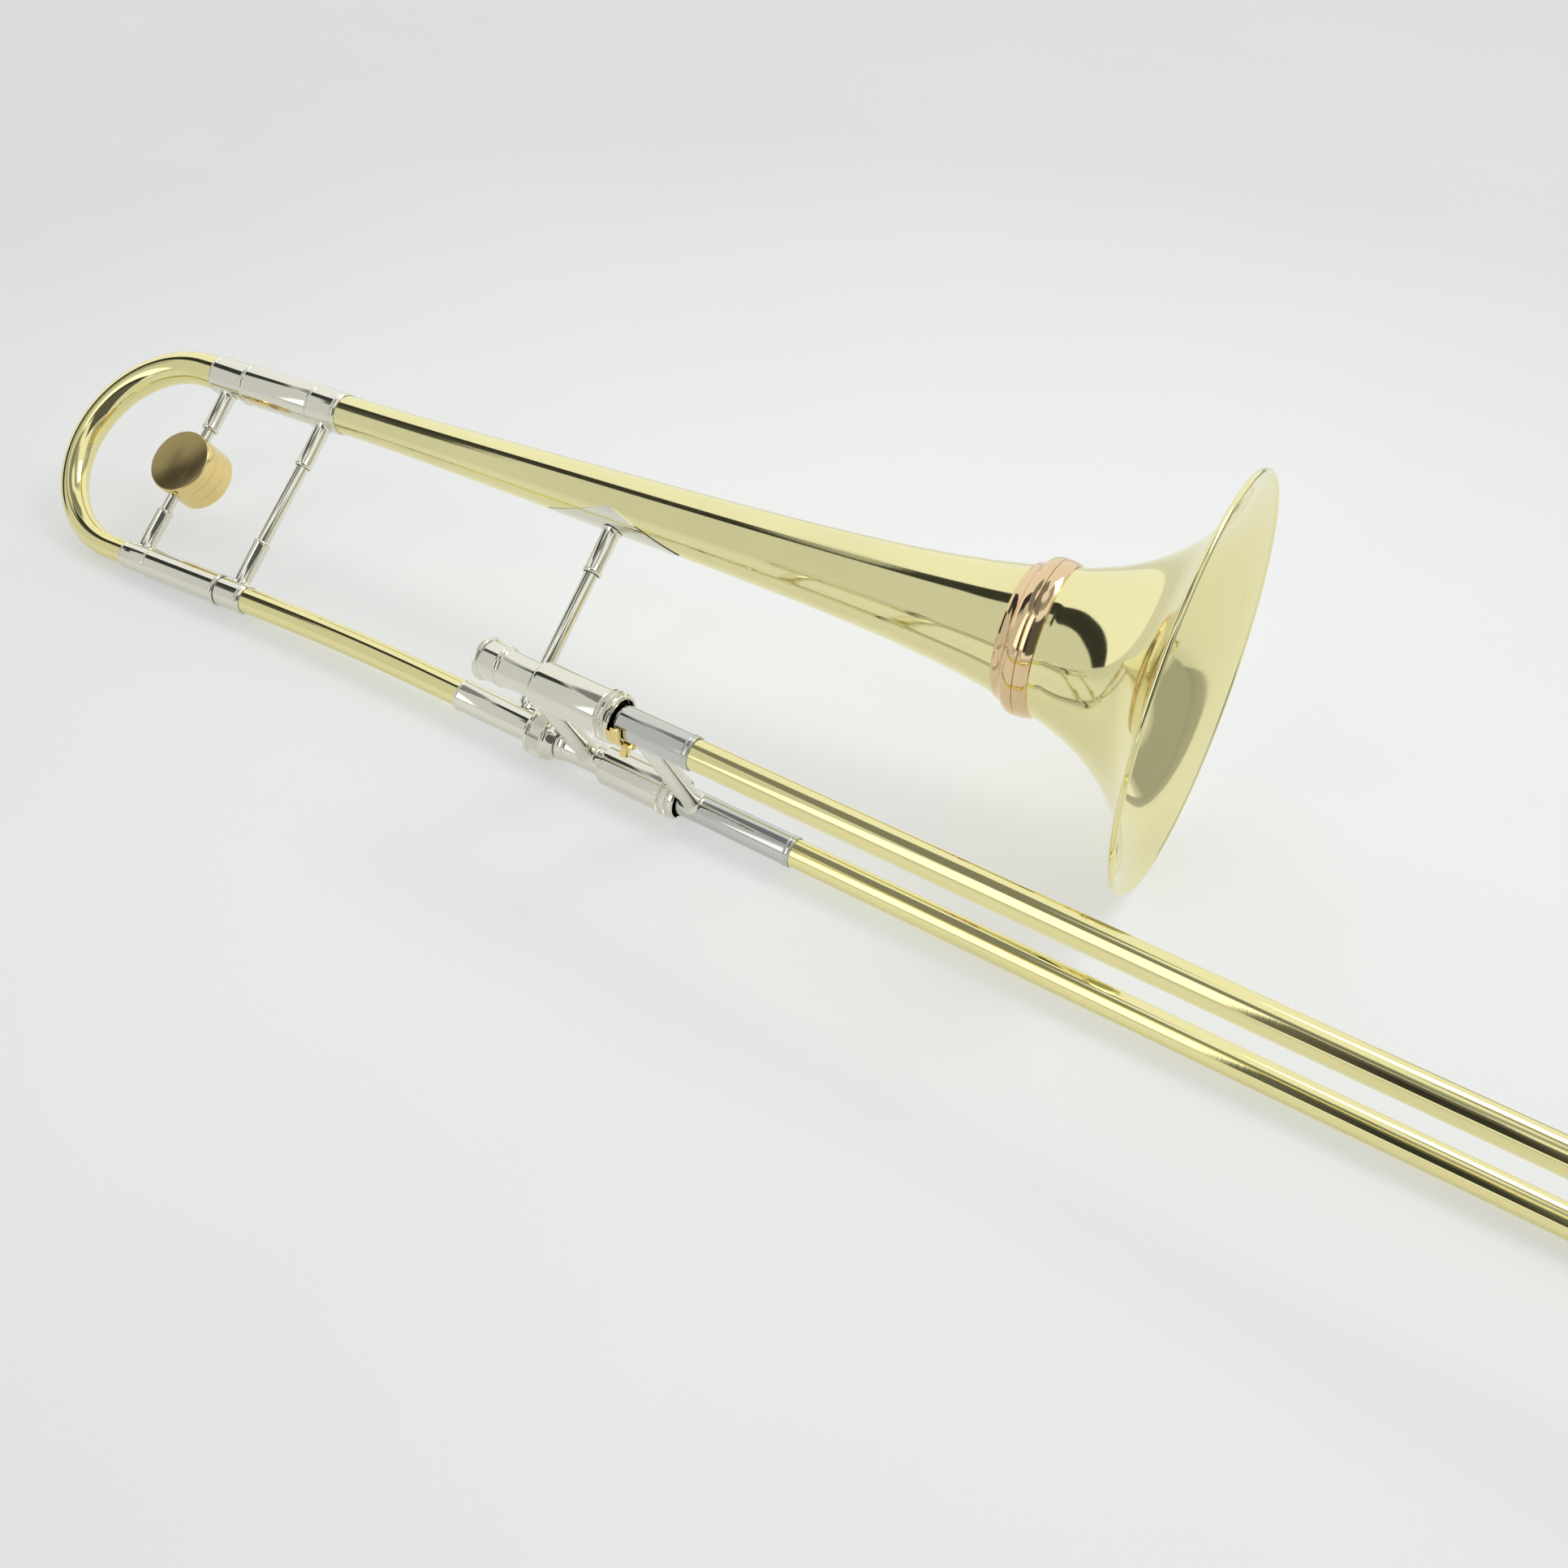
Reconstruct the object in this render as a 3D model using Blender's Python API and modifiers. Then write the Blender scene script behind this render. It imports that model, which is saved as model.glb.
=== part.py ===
"""Straight tenor trombone with a screw-off bell flare.

Modelled in two working frames that are laid down together on the floor:
the bell frame (X along the bell axis, Y from the neckpipe leg to the bell,
Z square to the bell plane) and the slide frame (X along the hand slide,
Z from the lower slide tube to the mouthpiece-side tube).
"""
import math

import bpy
from mathutils import Matrix, Vector

MM = 0.001
GAP = 0.3 * MM                    # clearance between touching pieces

# ---------------------------------------------------------------- rest pose
REST_ROLL = math.radians(37.697)  # bell plane leaned back on the bell rim
REST_PITCH = math.radians(-1.719)  # bell axis against the floor
REST_LIFT = 13.25 * MM            # height of the neckpipe elbow
REST_SHIFT_X = -332.255 * MM
REST_SHIFT_Y = -50.845 * MM

# ---------------------------------------------------------------- main layout
LEG_SPACING = 121.8 * MM          # neckpipe leg to bell axis
NECK_BEND = math.radians(3.41)    # slide axis against the bell axis
SLIDE_LEAN = math.radians(6.4)    # slide plane leaned toward the bell
SLIDE_ORIGIN = 43.0 * MM          # elbow to the slide frame origin
SLIDE_SPACING = 92.0 * MM         # between the two slide tubes
SIDES = 16                        # facets on tubes
FINE_SIDES = 24                   # facets on the large turned pieces

# ---------------------------------------------------------------- bell
BELL_CONTOUR = (                  # station along the bell axis, outer radius
    (-90.0, 11.0), (-40.0, 11.4), (20.0, 12.9), (80.0, 14.8), (140.0, 16.6),
    (200.0, 18.8), (250.0, 21.4), (290.0, 24.4), (325.0, 28.4), (348.0, 32.4),
)
FLARE_CONTOUR = (
    (360.0, 34.8), (372.0, 38.2), (388.0, 44.2), (402.0, 52.0), (413.0, 60.8),
    (422.0, 71.0), (428.5, 82.0), (432.5, 91.5), (434.4, 98.2),
)
BELL_WALL = 0.7 * MM
RIM_STATION = 434.6 * MM
RIM_RADIUS = 100.2 * MM
RIM_WIRE = 1.4 * MM
SCREW_RING_START = 349.0 * MM
SCREW_RING_SPLIT = 360.0 * MM
SCREW_RING_END = 367.0 * MM

# ---------------------------------------------------------------- tuning slide
LEG_START = -170.0 * MM           # crook ferrules begin
LEG_MOUTH = -146.0 * MM           # bell-side sleeve mouth
LEG_JOINT = -93.0 * MM            # end of the sliding sleeves
LEG_END = -73.0 * MM              # end of the bell-section ferrules
CROOK_CENTRE = -181.5 * MM
CROOK_SMALL = 6.7 * MM
CROOK_LARGE = 10.2 * MM
CROOK_WALL = 0.6 * MM
TUNING_BRACE = -158.8 * MM
REAR_BRACE = -83.6 * MM
FRONT_BRACE = 120.8 * MM
WEIGHT_RADIUS = 19.5 * MM
WEIGHT_FACE = 9.4 * MM            # front face above the bell plane
WEIGHT_DISC = 7.6 * MM            # thickness of each of the three discs

# ---------------------------------------------------------------- hand slide
FERRULE_START = 40.5 * MM
NUT_START = 89.6 * MM
NUT_END = 106.6 * MM
COLLAR_START = 103.1 * MM          # tenon collar held by the nut
UPPER_BARREL_START = 135.4 * MM
LOWER_BARREL_START = 135.0 * MM
UPPER_BARREL_END = 173.0 * MM
LOWER_BARREL_END = 172.2 * MM
UPPER_BARREL_LIP = 181.0 * MM
LOWER_BARREL_LIP = 182.0 * MM
BARREL_RADIUS = 10.8 * MM
RECEIVER_START = 103.6 * MM
INNER_TUBE_RADIUS = 6.1 * MM
STOCKING_RADIUS = 6.4 * MM
OUTER_TUBE_RADIUS = 7.1 * MM
OUTER_TUBE_WALL = 0.35 * MM
SLEEVE_RADIUS = 7.75 * MM
SLEEVE_START = 163.0 * MM
UPPER_SLEEVE_END = 220.8 * MM
LOWER_SLEEVE_END = 247.4 * MM
STOCKING_START = 702.0 * MM
INNER_TUBE_END = 797.0 * MM
BOW_JOINT = 800.0 * MM
BOW_CENTRE = 812.0 * MM
BOW_RADIUS = SLIDE_SPACING / 2
INNER_BRACE = 125.8 * MM
OUTER_BRACE = 189.2 * MM
HAND_BRACE_RADIUS = 5.1 * MM
HOOK_END = 186.4 * MM
HOOK_SPAN = (math.radians(76.0), math.radians(146.0))    # from the lower-tube side
HOOK_RADII = (8.5 * MM, 10.6 * MM)
CATCH_START = 185.8 * MM
CATCH_END = 190.6 * MM
CATCH_SPAN = (math.radians(44.0), math.radians(60.0))
CATCH_RADIUS = 10.2 * MM
POST_STATION = 186.1 * MM
POST_TURN = math.radians(130.0)
POST_SIDE = 3.0 * MM
POST_FOOT = 9.6 * MM
POST_TOP = 15.6 * MM
WATER_KEY_STATION = 812.0 * MM
WATER_KEY_TURN = math.radians(55.0)

# ---------------------------------------------------------------- materials
LOOKS = {                         # colour, roughness, metallic
    "yellow_brass": ((0.83, 0.72, 0.36), 0.12, 1.0),
    "nickel_silver": ((0.76, 0.74, 0.68), 0.14, 1.0),
    "chrome": ((0.72, 0.73, 0.75), 0.08, 1.0),
    "rose_brass": ((0.86, 0.62, 0.47), 0.14, 1.0),
    "gold_plate": ((0.86, 0.66, 0.28), 0.18, 1.0),
    "cork": ((0.45, 0.30, 0.17), 0.9, 0.0),
    "rubber": ((0.03, 0.03, 0.03), 0.8, 0.0),
}


# ---------------------------------------------------------------- scene set-up
for old in list(bpy.data.objects):
    bpy.data.objects.remove(old, do_unlink=True)

PARTS = bpy.data.collections.new("trombone")
CUTTERS = bpy.data.collections.new("cutters")
bpy.context.scene.collection.children.link(PARTS)
bpy.context.scene.collection.children.link(CUTTERS)

TO_X = Matrix.Rotation(math.pi / 2, 4, "Y")         # local Z becomes frame X
TO_Y = Matrix.Rotation(-math.pi / 2, 4, "X")        # local Z becomes frame Y

REST = (Matrix.Translation((REST_SHIFT_X, REST_SHIFT_Y, REST_LIFT))
        @ Matrix.Rotation(REST_PITCH, 4, "Y")
        @ Matrix.Rotation(REST_ROLL, 4, "X"))
BELL = REST
SLIDE = (BELL @ Matrix.Rotation(-NECK_BEND, 4, "Z")
         @ Matrix.Translation((SLIDE_ORIGIN, 0, 0))
         @ Matrix.Rotation(-SLIDE_LEAN, 4, "X"))


def material_for(name, look):
    """Each piece carries its own material."""
    colour, rough, metal = LOOKS[look]
    mat = bpy.data.materials.new(name)
    mat.use_nodes = True
    shader = mat.node_tree.nodes["Principled BSDF"]
    shader.inputs["Base Color"].default_value = (*colour, 1.0)
    shader.inputs["Roughness"].default_value = rough
    shader.inputs["Metallic"].default_value = metal
    return mat


def empty_at(name, matrix, parent=None):
    """Joint empty with its origin on the joint axis."""
    obj = bpy.data.objects.new(name, None)
    obj.empty_display_size = 0.02
    PARTS.objects.link(obj)
    obj.parent = parent
    bpy.context.view_layer.update()
    obj.matrix_world = matrix
    return obj


def place(name, mesh, matrix, look, parent, smooth=True):
    """Link a mesh as a named piece of the instrument."""
    mesh.name = name
    obj = bpy.data.objects.new(name, mesh)
    PARTS.objects.link(obj)
    obj.parent = parent
    bpy.context.view_layer.update()
    obj.matrix_world = matrix
    if look:
        mesh.materials.append(material_for(name, look))
    for face in mesh.polygons:
        face.use_smooth = smooth
    return obj


def to_cutters(obj):
    """Hide a boolean tool."""
    for owner in list(obj.users_collection):
        owner.objects.unlink(obj)
    CUTTERS.objects.link(obj)
    obj.hide_render = True
    obj.display_type = "WIRE"
    return obj


def cut(obj, tool, operation="DIFFERENCE"):
    """Exact boolean against a tool object."""
    mod = obj.modifiers.new(tool.name, "BOOLEAN")
    mod.operation = operation
    mod.solver = "EXACT"
    mod.object = tool
    return mod


def turned(name, outer, inner, matrix, look, parent, sides=SIDES):
    """Turned piece about local Z. outer and inner list (station, radius) with
    rising station; an empty inner list makes a solid piece."""
    ring = [(r, z) for z, r in reversed(outer)]
    if inner:
        ring += [(r, z) for z, r in inner]
    else:
        ring = [(0.0, outer[-1][0])] + ring + [(0.0, outer[0][0])]
    mesh = bpy.data.meshes.new(name)
    count = len(ring)
    edges = [(i, i + 1) for i in range(count - 1)]
    if inner:
        edges.append((count - 1, 0))
    mesh.from_pydata([(r, 0.0, z) for r, z in ring], edges, [])
    obj = place(name, mesh, matrix, look, parent)
    screw = obj.modifiers.new("turn", "SCREW")
    screw.axis = "Z"
    screw.angle = 2 * math.pi
    screw.steps = sides
    screw.render_steps = sides
    screw.use_merge_vertices = True
    screw.merge_threshold = 0.00001
    screw.use_smooth_shade = True
    return obj


def tube(name, start, end, radius, wall, matrix, look, parent, sides=SIDES):
    """Plain straight tube along local Z."""
    return turned(name, [(start, radius), (end, radius)],
                  [(start, radius - wall), (end, radius - wall)],
                  matrix, look, parent, sides)


def rod(name, start, end, radius, matrix, look, parent, sides=SIDES):
    """Plain solid rod along local Z."""
    return turned(name, [(start, radius), (end, radius)], [], matrix, look, parent, sides)


def cutter_rod(name, start, end, radius, matrix, sides=FINE_SIDES):
    """Cylindrical boolean tool along local Z."""
    return to_cutters(rod(name, start, end, radius, matrix, None, None, sides))


def bent_tube(name, points, radii, wall, matrix, look, parent):
    """Hollow tube along a bent path with a radius at every point."""
    curve = bpy.data.curves.new(name, "CURVE")
    curve.dimensions = "3D"
    curve.bevel_depth = 1.0
    curve.bevel_resolution = 3
    curve.use_fill_caps = False
    spline = curve.splines.new("POLY")
    spline.points.add(len(points) - 1)
    for point, at, radius in zip(spline.points, points, radii):
        point.co = (*at, 1.0)
        point.radius = radius
    path = bpy.data.objects.new(name + "_path", curve)
    CUTTERS.objects.link(path)
    bpy.context.view_layer.update()
    mesh = bpy.data.meshes.new_from_object(path)
    bpy.data.objects.remove(path, do_unlink=True)
    mesh.materials.clear()
    obj = place(name, mesh, matrix, look, parent)
    solid = obj.modifiers.new("wall", "SOLIDIFY")
    solid.thickness = wall
    solid.offset = -1.0
    solid.use_even_offset = True
    return obj


def box(name, size, matrix, look, parent, bevel=0.0):
    """Bevelled block centred on its matrix."""
    half = [value / 2 for value in size]
    mesh = bpy.data.meshes.new(name)
    corners = [(x, y, z) for x in (-half[0], half[0])
               for y in (-half[1], half[1]) for z in (-half[2], half[2])]
    faces = [(0, 1, 3, 2), (4, 6, 7, 5), (0, 4, 5, 1), (2, 3, 7, 6), (0, 2, 6, 4), (1, 5, 7, 3)]
    mesh.from_pydata(corners, [], faces)
    obj = place(name, mesh, matrix, look, parent, smooth=False)
    if bevel:
        mod = obj.modifiers.new("edge", "BEVEL")
        mod.width = bevel
        mod.segments = 1
    return obj


def outline_plate(name, outline, thickness, matrix, look, parent):
    """Flat plate cut to an outline in the local XY plane, filled at millimetre scale."""
    curve = bpy.data.curves.new(name, "CURVE")
    curve.dimensions = "2D"
    curve.fill_mode = "BOTH"
    curve.extrude = thickness / 2 / MM
    spline = curve.splines.new("POLY")
    spline.points.add(len(outline) - 1)
    for point, (x, y) in zip(spline.points, outline):
        point.co = (x / MM, y / MM, 0.0, 1.0)
    spline.use_cyclic_u = True
    path = bpy.data.objects.new(name + "_outline", curve)
    CUTTERS.objects.link(path)
    bpy.context.view_layer.update()
    mesh = bpy.data.meshes.new_from_object(path)
    bpy.data.objects.remove(path, do_unlink=True)
    mesh.materials.clear()
    mesh.transform(Matrix.Scale(MM, 4))
    obj = place(name, mesh, matrix, look, parent, smooth=False)
    weld = obj.modifiers.new("seam", "WELD")
    weld.merge_threshold = 0.00001
    return obj


def at(frame, x=0.0, y=0.0, z=0.0):
    """Frame moved to a point."""
    return frame @ Matrix.Translation((x, y, z))


def contour_radius(contour, station):
    """Radius of a contour table at a station, both in metres."""
    value = station / MM
    for (x0, r0), (x1, r1) in zip(contour, contour[1:]):
        if x0 <= value <= x1:
            return (r0 + (r1 - r0) * (value - x0) / (x1 - x0)) * MM
    return contour[-1][1] * MM


def wall_profile(contour, wall):
    """Outer and inner lists of a thin turned sheet, offset square to its slope."""
    outer = [(x * MM, r * MM) for x, r in contour]
    inner = []
    last = len(outer) - 1
    for index, (x, r) in enumerate(outer):
        before = outer[max(index - 1, 0)]
        after = outer[min(index + 1, last)]
        slope = math.atan2(after[1] - before[1], after[0] - before[0])
        inner.append((x + wall * math.sin(slope), r - wall * math.cos(slope)))
    return outer, inner


# ================================================================ joint tree
bell_root = empty_at("bell_section", BELL)
tuning_root = empty_at("tuning_slide_axis", at(BELL, LEG_START) @ TO_X, bell_root)
flare_root = empty_at("bell_screw_axis", at(BELL, SCREW_RING_SPLIT, LEG_SPACING) @ TO_X, bell_root)
slide_root = empty_at("slide_swivel_axis", at(SLIDE, NUT_END) @ TO_X, bell_root)
nut_root = empty_at("lock_nut_axis", at(SLIDE, NUT_START) @ TO_X, slide_root)
outer_root = empty_at("hand_slide_axis", at(SLIDE, SLEEVE_START) @ TO_X, slide_root)
lock_root = empty_at("slide_lock_axis", at(SLIDE, UPPER_BARREL_END, 0, SLIDE_SPACING) @ TO_X, slide_root)

BELL_AXIS = at(BELL, 0, LEG_SPACING) @ TO_X         # turned pieces on the bell axis
LEG_AXIS = BELL @ TO_X                              # turned pieces on the neckpipe leg
LOWER_AXIS = SLIDE @ TO_X                           # lower slide tube
UPPER_AXIS = at(SLIDE, 0, 0, SLIDE_SPACING) @ TO_X  # mouthpiece-side tube

# ================================================================ bell section
stem_outer, stem_inner = wall_profile(BELL_CONTOUR, BELL_WALL)
turned("bell_stem", stem_outer, stem_inner, BELL_AXIS, "yellow_brass", bell_root, FINE_SIDES)

RING_BORE_BACK = contour_radius(BELL_CONTOUR, SCREW_RING_START) + GAP + 0.1 * MM
turned("bell_stem_ring",
       [(SCREW_RING_START, RING_BORE_BACK + 1.5 * MM), (351.2 * MM, 35.0 * MM),
        (352.4 * MM, 36.4 * MM), (354.4 * MM, 38.3 * MM), (357.4 * MM, 39.0 * MM),
        (SCREW_RING_SPLIT - GAP, 38.9 * MM)],
       [(SCREW_RING_START, RING_BORE_BACK), (350.6 * MM, RING_BORE_BACK),
        (351.0 * MM, 32.2 * MM), (SCREW_RING_SPLIT - GAP, 33.6 * MM)],
       BELL_AXIS, "rose_brass", bell_root, FINE_SIDES)

SLEEVE_OUT = 11.8 * MM
turned("bell_tuning_sleeve",
       [(LEG_MOUTH, SLEEVE_OUT + 0.7 * MM), (LEG_MOUTH + 1.6 * MM, SLEEVE_OUT + 0.7 * MM),
        (LEG_MOUTH + 2.2 * MM, SLEEVE_OUT), (LEG_JOINT - 1.5 * MM, SLEEVE_OUT)],
       [(LEG_MOUTH, 10.75 * MM), (LEG_JOINT - 1.5 * MM, 10.75 * MM)],
       BELL_AXIS, "nickel_silver", bell_root)
turned("bell_brace_ferrule",
       [(LEG_JOINT - 1.2 * MM, 12.2 * MM), (LEG_END - 2.0 * MM, 12.2 * MM),
        (LEG_END - 1.6 * MM, 12.7 * MM), (LEG_END, 12.7 * MM)],
       [(LEG_JOINT - 1.2 * MM, 11.5 * MM), (LEG_END, 11.5 * MM)],
       BELL_AXIS, "nickel_silver", bell_root)

# ---- neckpipe side
NECK_RADIUS = 7.4 * MM
turned("neckpipe_inner_leg",
       [(LEG_MOUTH + 3.0 * MM, 7.8 * MM), (LEG_END - 4.0 * MM, 7.8 * MM)],
       [(LEG_MOUTH + 3.0 * MM, 7.2 * MM), (LEG_END - 4.0 * MM, 7.2 * MM)],
       LEG_AXIS, "nickel_silver", bell_root)
turned("neckpipe_ferrule",
       [(LEG_JOINT + 1.2 * MM, 8.6 * MM), (LEG_END - 2.4 * MM, 8.6 * MM),
        (LEG_END - 2.0 * MM, 9.0 * MM), (LEG_END, 9.0 * MM)],
       [(LEG_JOINT + 1.2 * MM, 8.1 * MM), (LEG_END - 3.6 * MM, 8.1 * MM),
        (LEG_END - 3.4 * MM, 7.7 * MM), (LEG_END, 7.7 * MM)],
       LEG_AXIS, "nickel_silver", bell_root)

neck_points = []
NECK_STEPS = 9
NECK_START = LEG_END - 3.0 * MM
NECK_BLEND = 62.0 * MM
NECK_EXIT = 56.0 * MM + SLIDE_ORIGIN
neck_points.append((NECK_START, 0.0, 0.0))
for step in range(NECK_STEPS + 1):
    share = step / NECK_STEPS
    start = Vector((-NECK_BLEND, 0.0, 0.0))
    corner = Vector((0.0, 0.0, 0.0))
    end = Vector((math.cos(NECK_BEND), -math.sin(NECK_BEND), 0.0)) * NECK_BLEND
    spot = start * (1 - share) ** 2 + corner * (2 * share * (1 - share)) + end * share ** 2
    neck_points.append(tuple(spot))
neck_points.append((math.cos(NECK_BEND) * NECK_EXIT, -math.sin(NECK_BEND) * NECK_EXIT, 0.0))
bent_tube("neckpipe", neck_points, [NECK_RADIUS] * len(neck_points), 0.6 * MM,
          BELL, "yellow_brass", bell_root)

turned("receiver_ferrule",
       [(FERRULE_START, 8.9 * MM), (FERRULE_START + 2.2 * MM, 8.9 * MM),
        (FERRULE_START + 2.6 * MM, 8.5 * MM), (NUT_START - 1.0 * MM, 8.5 * MM),
        (NUT_START + 1.0 * MM, 9.3 * MM), (COLLAR_START - 0.4 * MM, 9.3 * MM)],
       [(FERRULE_START, 7.7 * MM), (57.5 * MM, 7.7 * MM), (58.0 * MM, 6.8 * MM),
        (COLLAR_START - 0.4 * MM, 7.7 * MM)],
       LOWER_AXIS, "nickel_silver", bell_root)


# ---- braces of the bell plane
def brace_socket(name, x, foot, tip, radius, bore, hug_radius, hug_axis, parent):
    """Sleeve of a brace between foot and tip along Y, its foot cut to hug a tube."""
    sign = 1.0 if tip > foot else -1.0
    low, high = min(foot, tip), max(foot, tip)
    bead = [(tip - sign * 2.0 * MM, radius), (tip - sign * 1.6 * MM, radius + 0.5 * MM),
            (tip - sign * 0.4 * MM, radius + 0.5 * MM)]
    outer = sorted([(foot, radius)] + bead + [(tip, radius)])
    frame = BELL @ Matrix.Translation((x, 0, 0)) @ TO_Y
    obj = turned(name, outer, [(low, bore), (high, bore)], frame,
                 "nickel_silver", parent)
    tool = cutter_rod(name + "_cutter", -25 * MM, 25 * MM, hug_radius + GAP, hug_axis)
    cut(obj, tool)
    return obj


SOCKET_RADIUS = 4.6 * MM
SOCKET_LENGTH = 26.0 * MM
TUNING_ROD = 3.3 * MM
REAR_ROD = 3.6 * MM
FRONT_ROD = 3.8 * MM


def across(x, y):
    """Matrix of a turned tool lying along the bell axis at a height y."""
    return at(BELL, x, y) @ TO_X


brace_socket("rear_brace_leg_socket", REAR_BRACE, 6.0 * MM, 8.8 * MM + SOCKET_LENGTH,
             SOCKET_RADIUS, REAR_ROD + GAP, 8.6 * MM, across(REAR_BRACE, 0), bell_root)
brace_socket("rear_brace_bell_socket", REAR_BRACE, LEG_SPACING - 9.0 * MM,
             LEG_SPACING - 12.2 * MM - SOCKET_LENGTH, SOCKET_RADIUS, REAR_ROD + GAP,
             12.2 * MM, across(REAR_BRACE, LEG_SPACING), bell_root)
rod("rear_brace_rod", 9.6 * MM, LEG_SPACING - 13.2 * MM, REAR_ROD,
    BELL @ Matrix.Translation((REAR_BRACE, 0, 0)) @ TO_Y, "nickel_silver", bell_root)

FRONT_FOOT = -FRONT_BRACE * math.tan(NECK_BEND)     # slide axis under the front brace
FLANGE_RADIUS = contour_radius(BELL_CONTOUR, FRONT_BRACE)
brace_socket("front_brace_bell_socket", FRONT_BRACE, LEG_SPACING - 14.0 * MM,
             LEG_SPACING - FLANGE_RADIUS - SOCKET_LENGTH, SOCKET_RADIUS + 0.4 * MM,
             FRONT_ROD + GAP, FLANGE_RADIUS + 0.95 * MM, across(FRONT_BRACE, LEG_SPACING), bell_root)
brace_socket("front_brace_foot", FRONT_BRACE, FRONT_FOOT + 6.0 * MM, FRONT_FOOT + 20.0 * MM,
             SOCKET_RADIUS, FRONT_ROD + GAP, 8.5 * MM,
             at(SLIDE, FRONT_BRACE / math.cos(NECK_BEND) - SLIDE_ORIGIN) @ TO_X, bell_root)
rod("front_brace_rod", FRONT_FOOT + 9.3 * MM, LEG_SPACING - FLANGE_RADIUS - 1.6 * MM,
    FRONT_ROD, BELL @ Matrix.Translation((FRONT_BRACE, 0, 0)) @ TO_Y,
    "nickel_silver", bell_root)

FLANGE_HALF = 42.0 * MM
flange_stations = [FRONT_BRACE + FLANGE_HALF * share for share in (-1.1, 0.0, 1.1)]
flange_outer = [(x, contour_radius(BELL_CONTOUR, x) + 0.8 * MM) for x in flange_stations]
flange_inner = [(x, contour_radius(BELL_CONTOUR, x) + GAP) for x in flange_stations]
flange = turned("front_brace_flange", flange_outer, flange_inner, BELL_AXIS,
                "nickel_silver", bell_root, FINE_SIDES)
flange_tool = outline_plate(
    "front_brace_flange_outline",
    [(-FLANGE_HALF, 0.0), (0.0, -16.4 * MM), (FLANGE_HALF, 0.0), (0.0, 16.4 * MM)],
    30.0 * MM, at(BELL, FRONT_BRACE, LEG_SPACING - 16.0 * MM) @ Matrix.Rotation(math.pi / 2, 4, "X"),
    None, None)
to_cutters(flange_tool)
cut(flange, flange_tool, "INTERSECT")

# ================================================================ tuning slide
crook_points = [(LEG_START + 9.0 * MM, 0.0, 0.0)]
CROOK_STEPS = 18
for step in range(CROOK_STEPS + 1):
    turn = math.pi * step / CROOK_STEPS
    crook_points.append((CROOK_CENTRE - math.sin(turn) * LEG_SPACING / 2,
                         (1 - math.cos(turn)) * LEG_SPACING / 2, 0.0))
crook_points.append((LEG_START + 9.0 * MM, LEG_SPACING, 0.0))
crook_last = len(crook_points) - 1
crook_radii = [CROOK_SMALL + (CROOK_LARGE - CROOK_SMALL) * i / crook_last
               for i in range(crook_last + 1)]
bent_tube("tuning_crook", crook_points, crook_radii, CROOK_WALL, BELL,
          "yellow_brass", tuning_root)

turned("tuning_bell_ferrule",
       [(LEG_START, 11.2 * MM), (LEG_MOUTH - 1.0 * MM, 11.2 * MM), (LEG_MOUTH - GAP, 11.6 * MM)],
       [(LEG_START, 10.6 * MM), (LEG_MOUTH - GAP, 10.6 * MM)],
       BELL_AXIS, "nickel_silver", tuning_root)
tube("tuning_inner_leg", LEG_START + 10.0 * MM, LEG_JOINT - 6.0 * MM, 10.25 * MM, 0.6 * MM,
     BELL_AXIS, "nickel_silver", tuning_root)
turned("tuning_leg_ferrule",
       [(LEG_START + 2.0 * MM, 8.1 * MM), (-148.4 * MM, 8.1 * MM)],
       [(LEG_START + 2.0 * MM, 7.3 * MM), (-148.4 * MM, 7.3 * MM)],
       LEG_AXIS, "nickel_silver", tuning_root)
turned("tuning_outer_sleeve",
       [(-148.1 * MM, 8.3 * MM), (-147.6 * MM, 8.9 * MM), (LEG_JOINT - 2.2 * MM, 8.9 * MM),
        (LEG_JOINT - 1.6 * MM, 9.6 * MM), (LEG_JOINT, 9.6 * MM)],
       [(-148.1 * MM, 7.4 * MM), (-145.0 * MM, 7.4 * MM), (-144.6 * MM, 8.1 * MM),
        (LEG_JOINT, 8.1 * MM)],
       LEG_AXIS, "nickel_silver", tuning_root)

brace_socket("tuning_brace_leg_socket", TUNING_BRACE, 5.5 * MM, 8.1 * MM + 24.0 * MM,
             SOCKET_RADIUS, TUNING_ROD + GAP, 8.1 * MM, across(TUNING_BRACE, 0), tuning_root)
brace_socket("tuning_brace_bell_socket", TUNING_BRACE, LEG_SPACING - 8.0 * MM,
             LEG_SPACING - 11.2 * MM - 24.0 * MM, SOCKET_RADIUS, TUNING_ROD + GAP,
             11.2 * MM, across(TUNING_BRACE, LEG_SPACING), tuning_root)
rod("tuning_brace_rod", 8.9 * MM, LEG_SPACING - 12.2 * MM, TUNING_ROD,
    BELL @ Matrix.Translation((TUNING_BRACE, 0, 0)) @ TO_Y, "nickel_silver", tuning_root)

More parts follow.
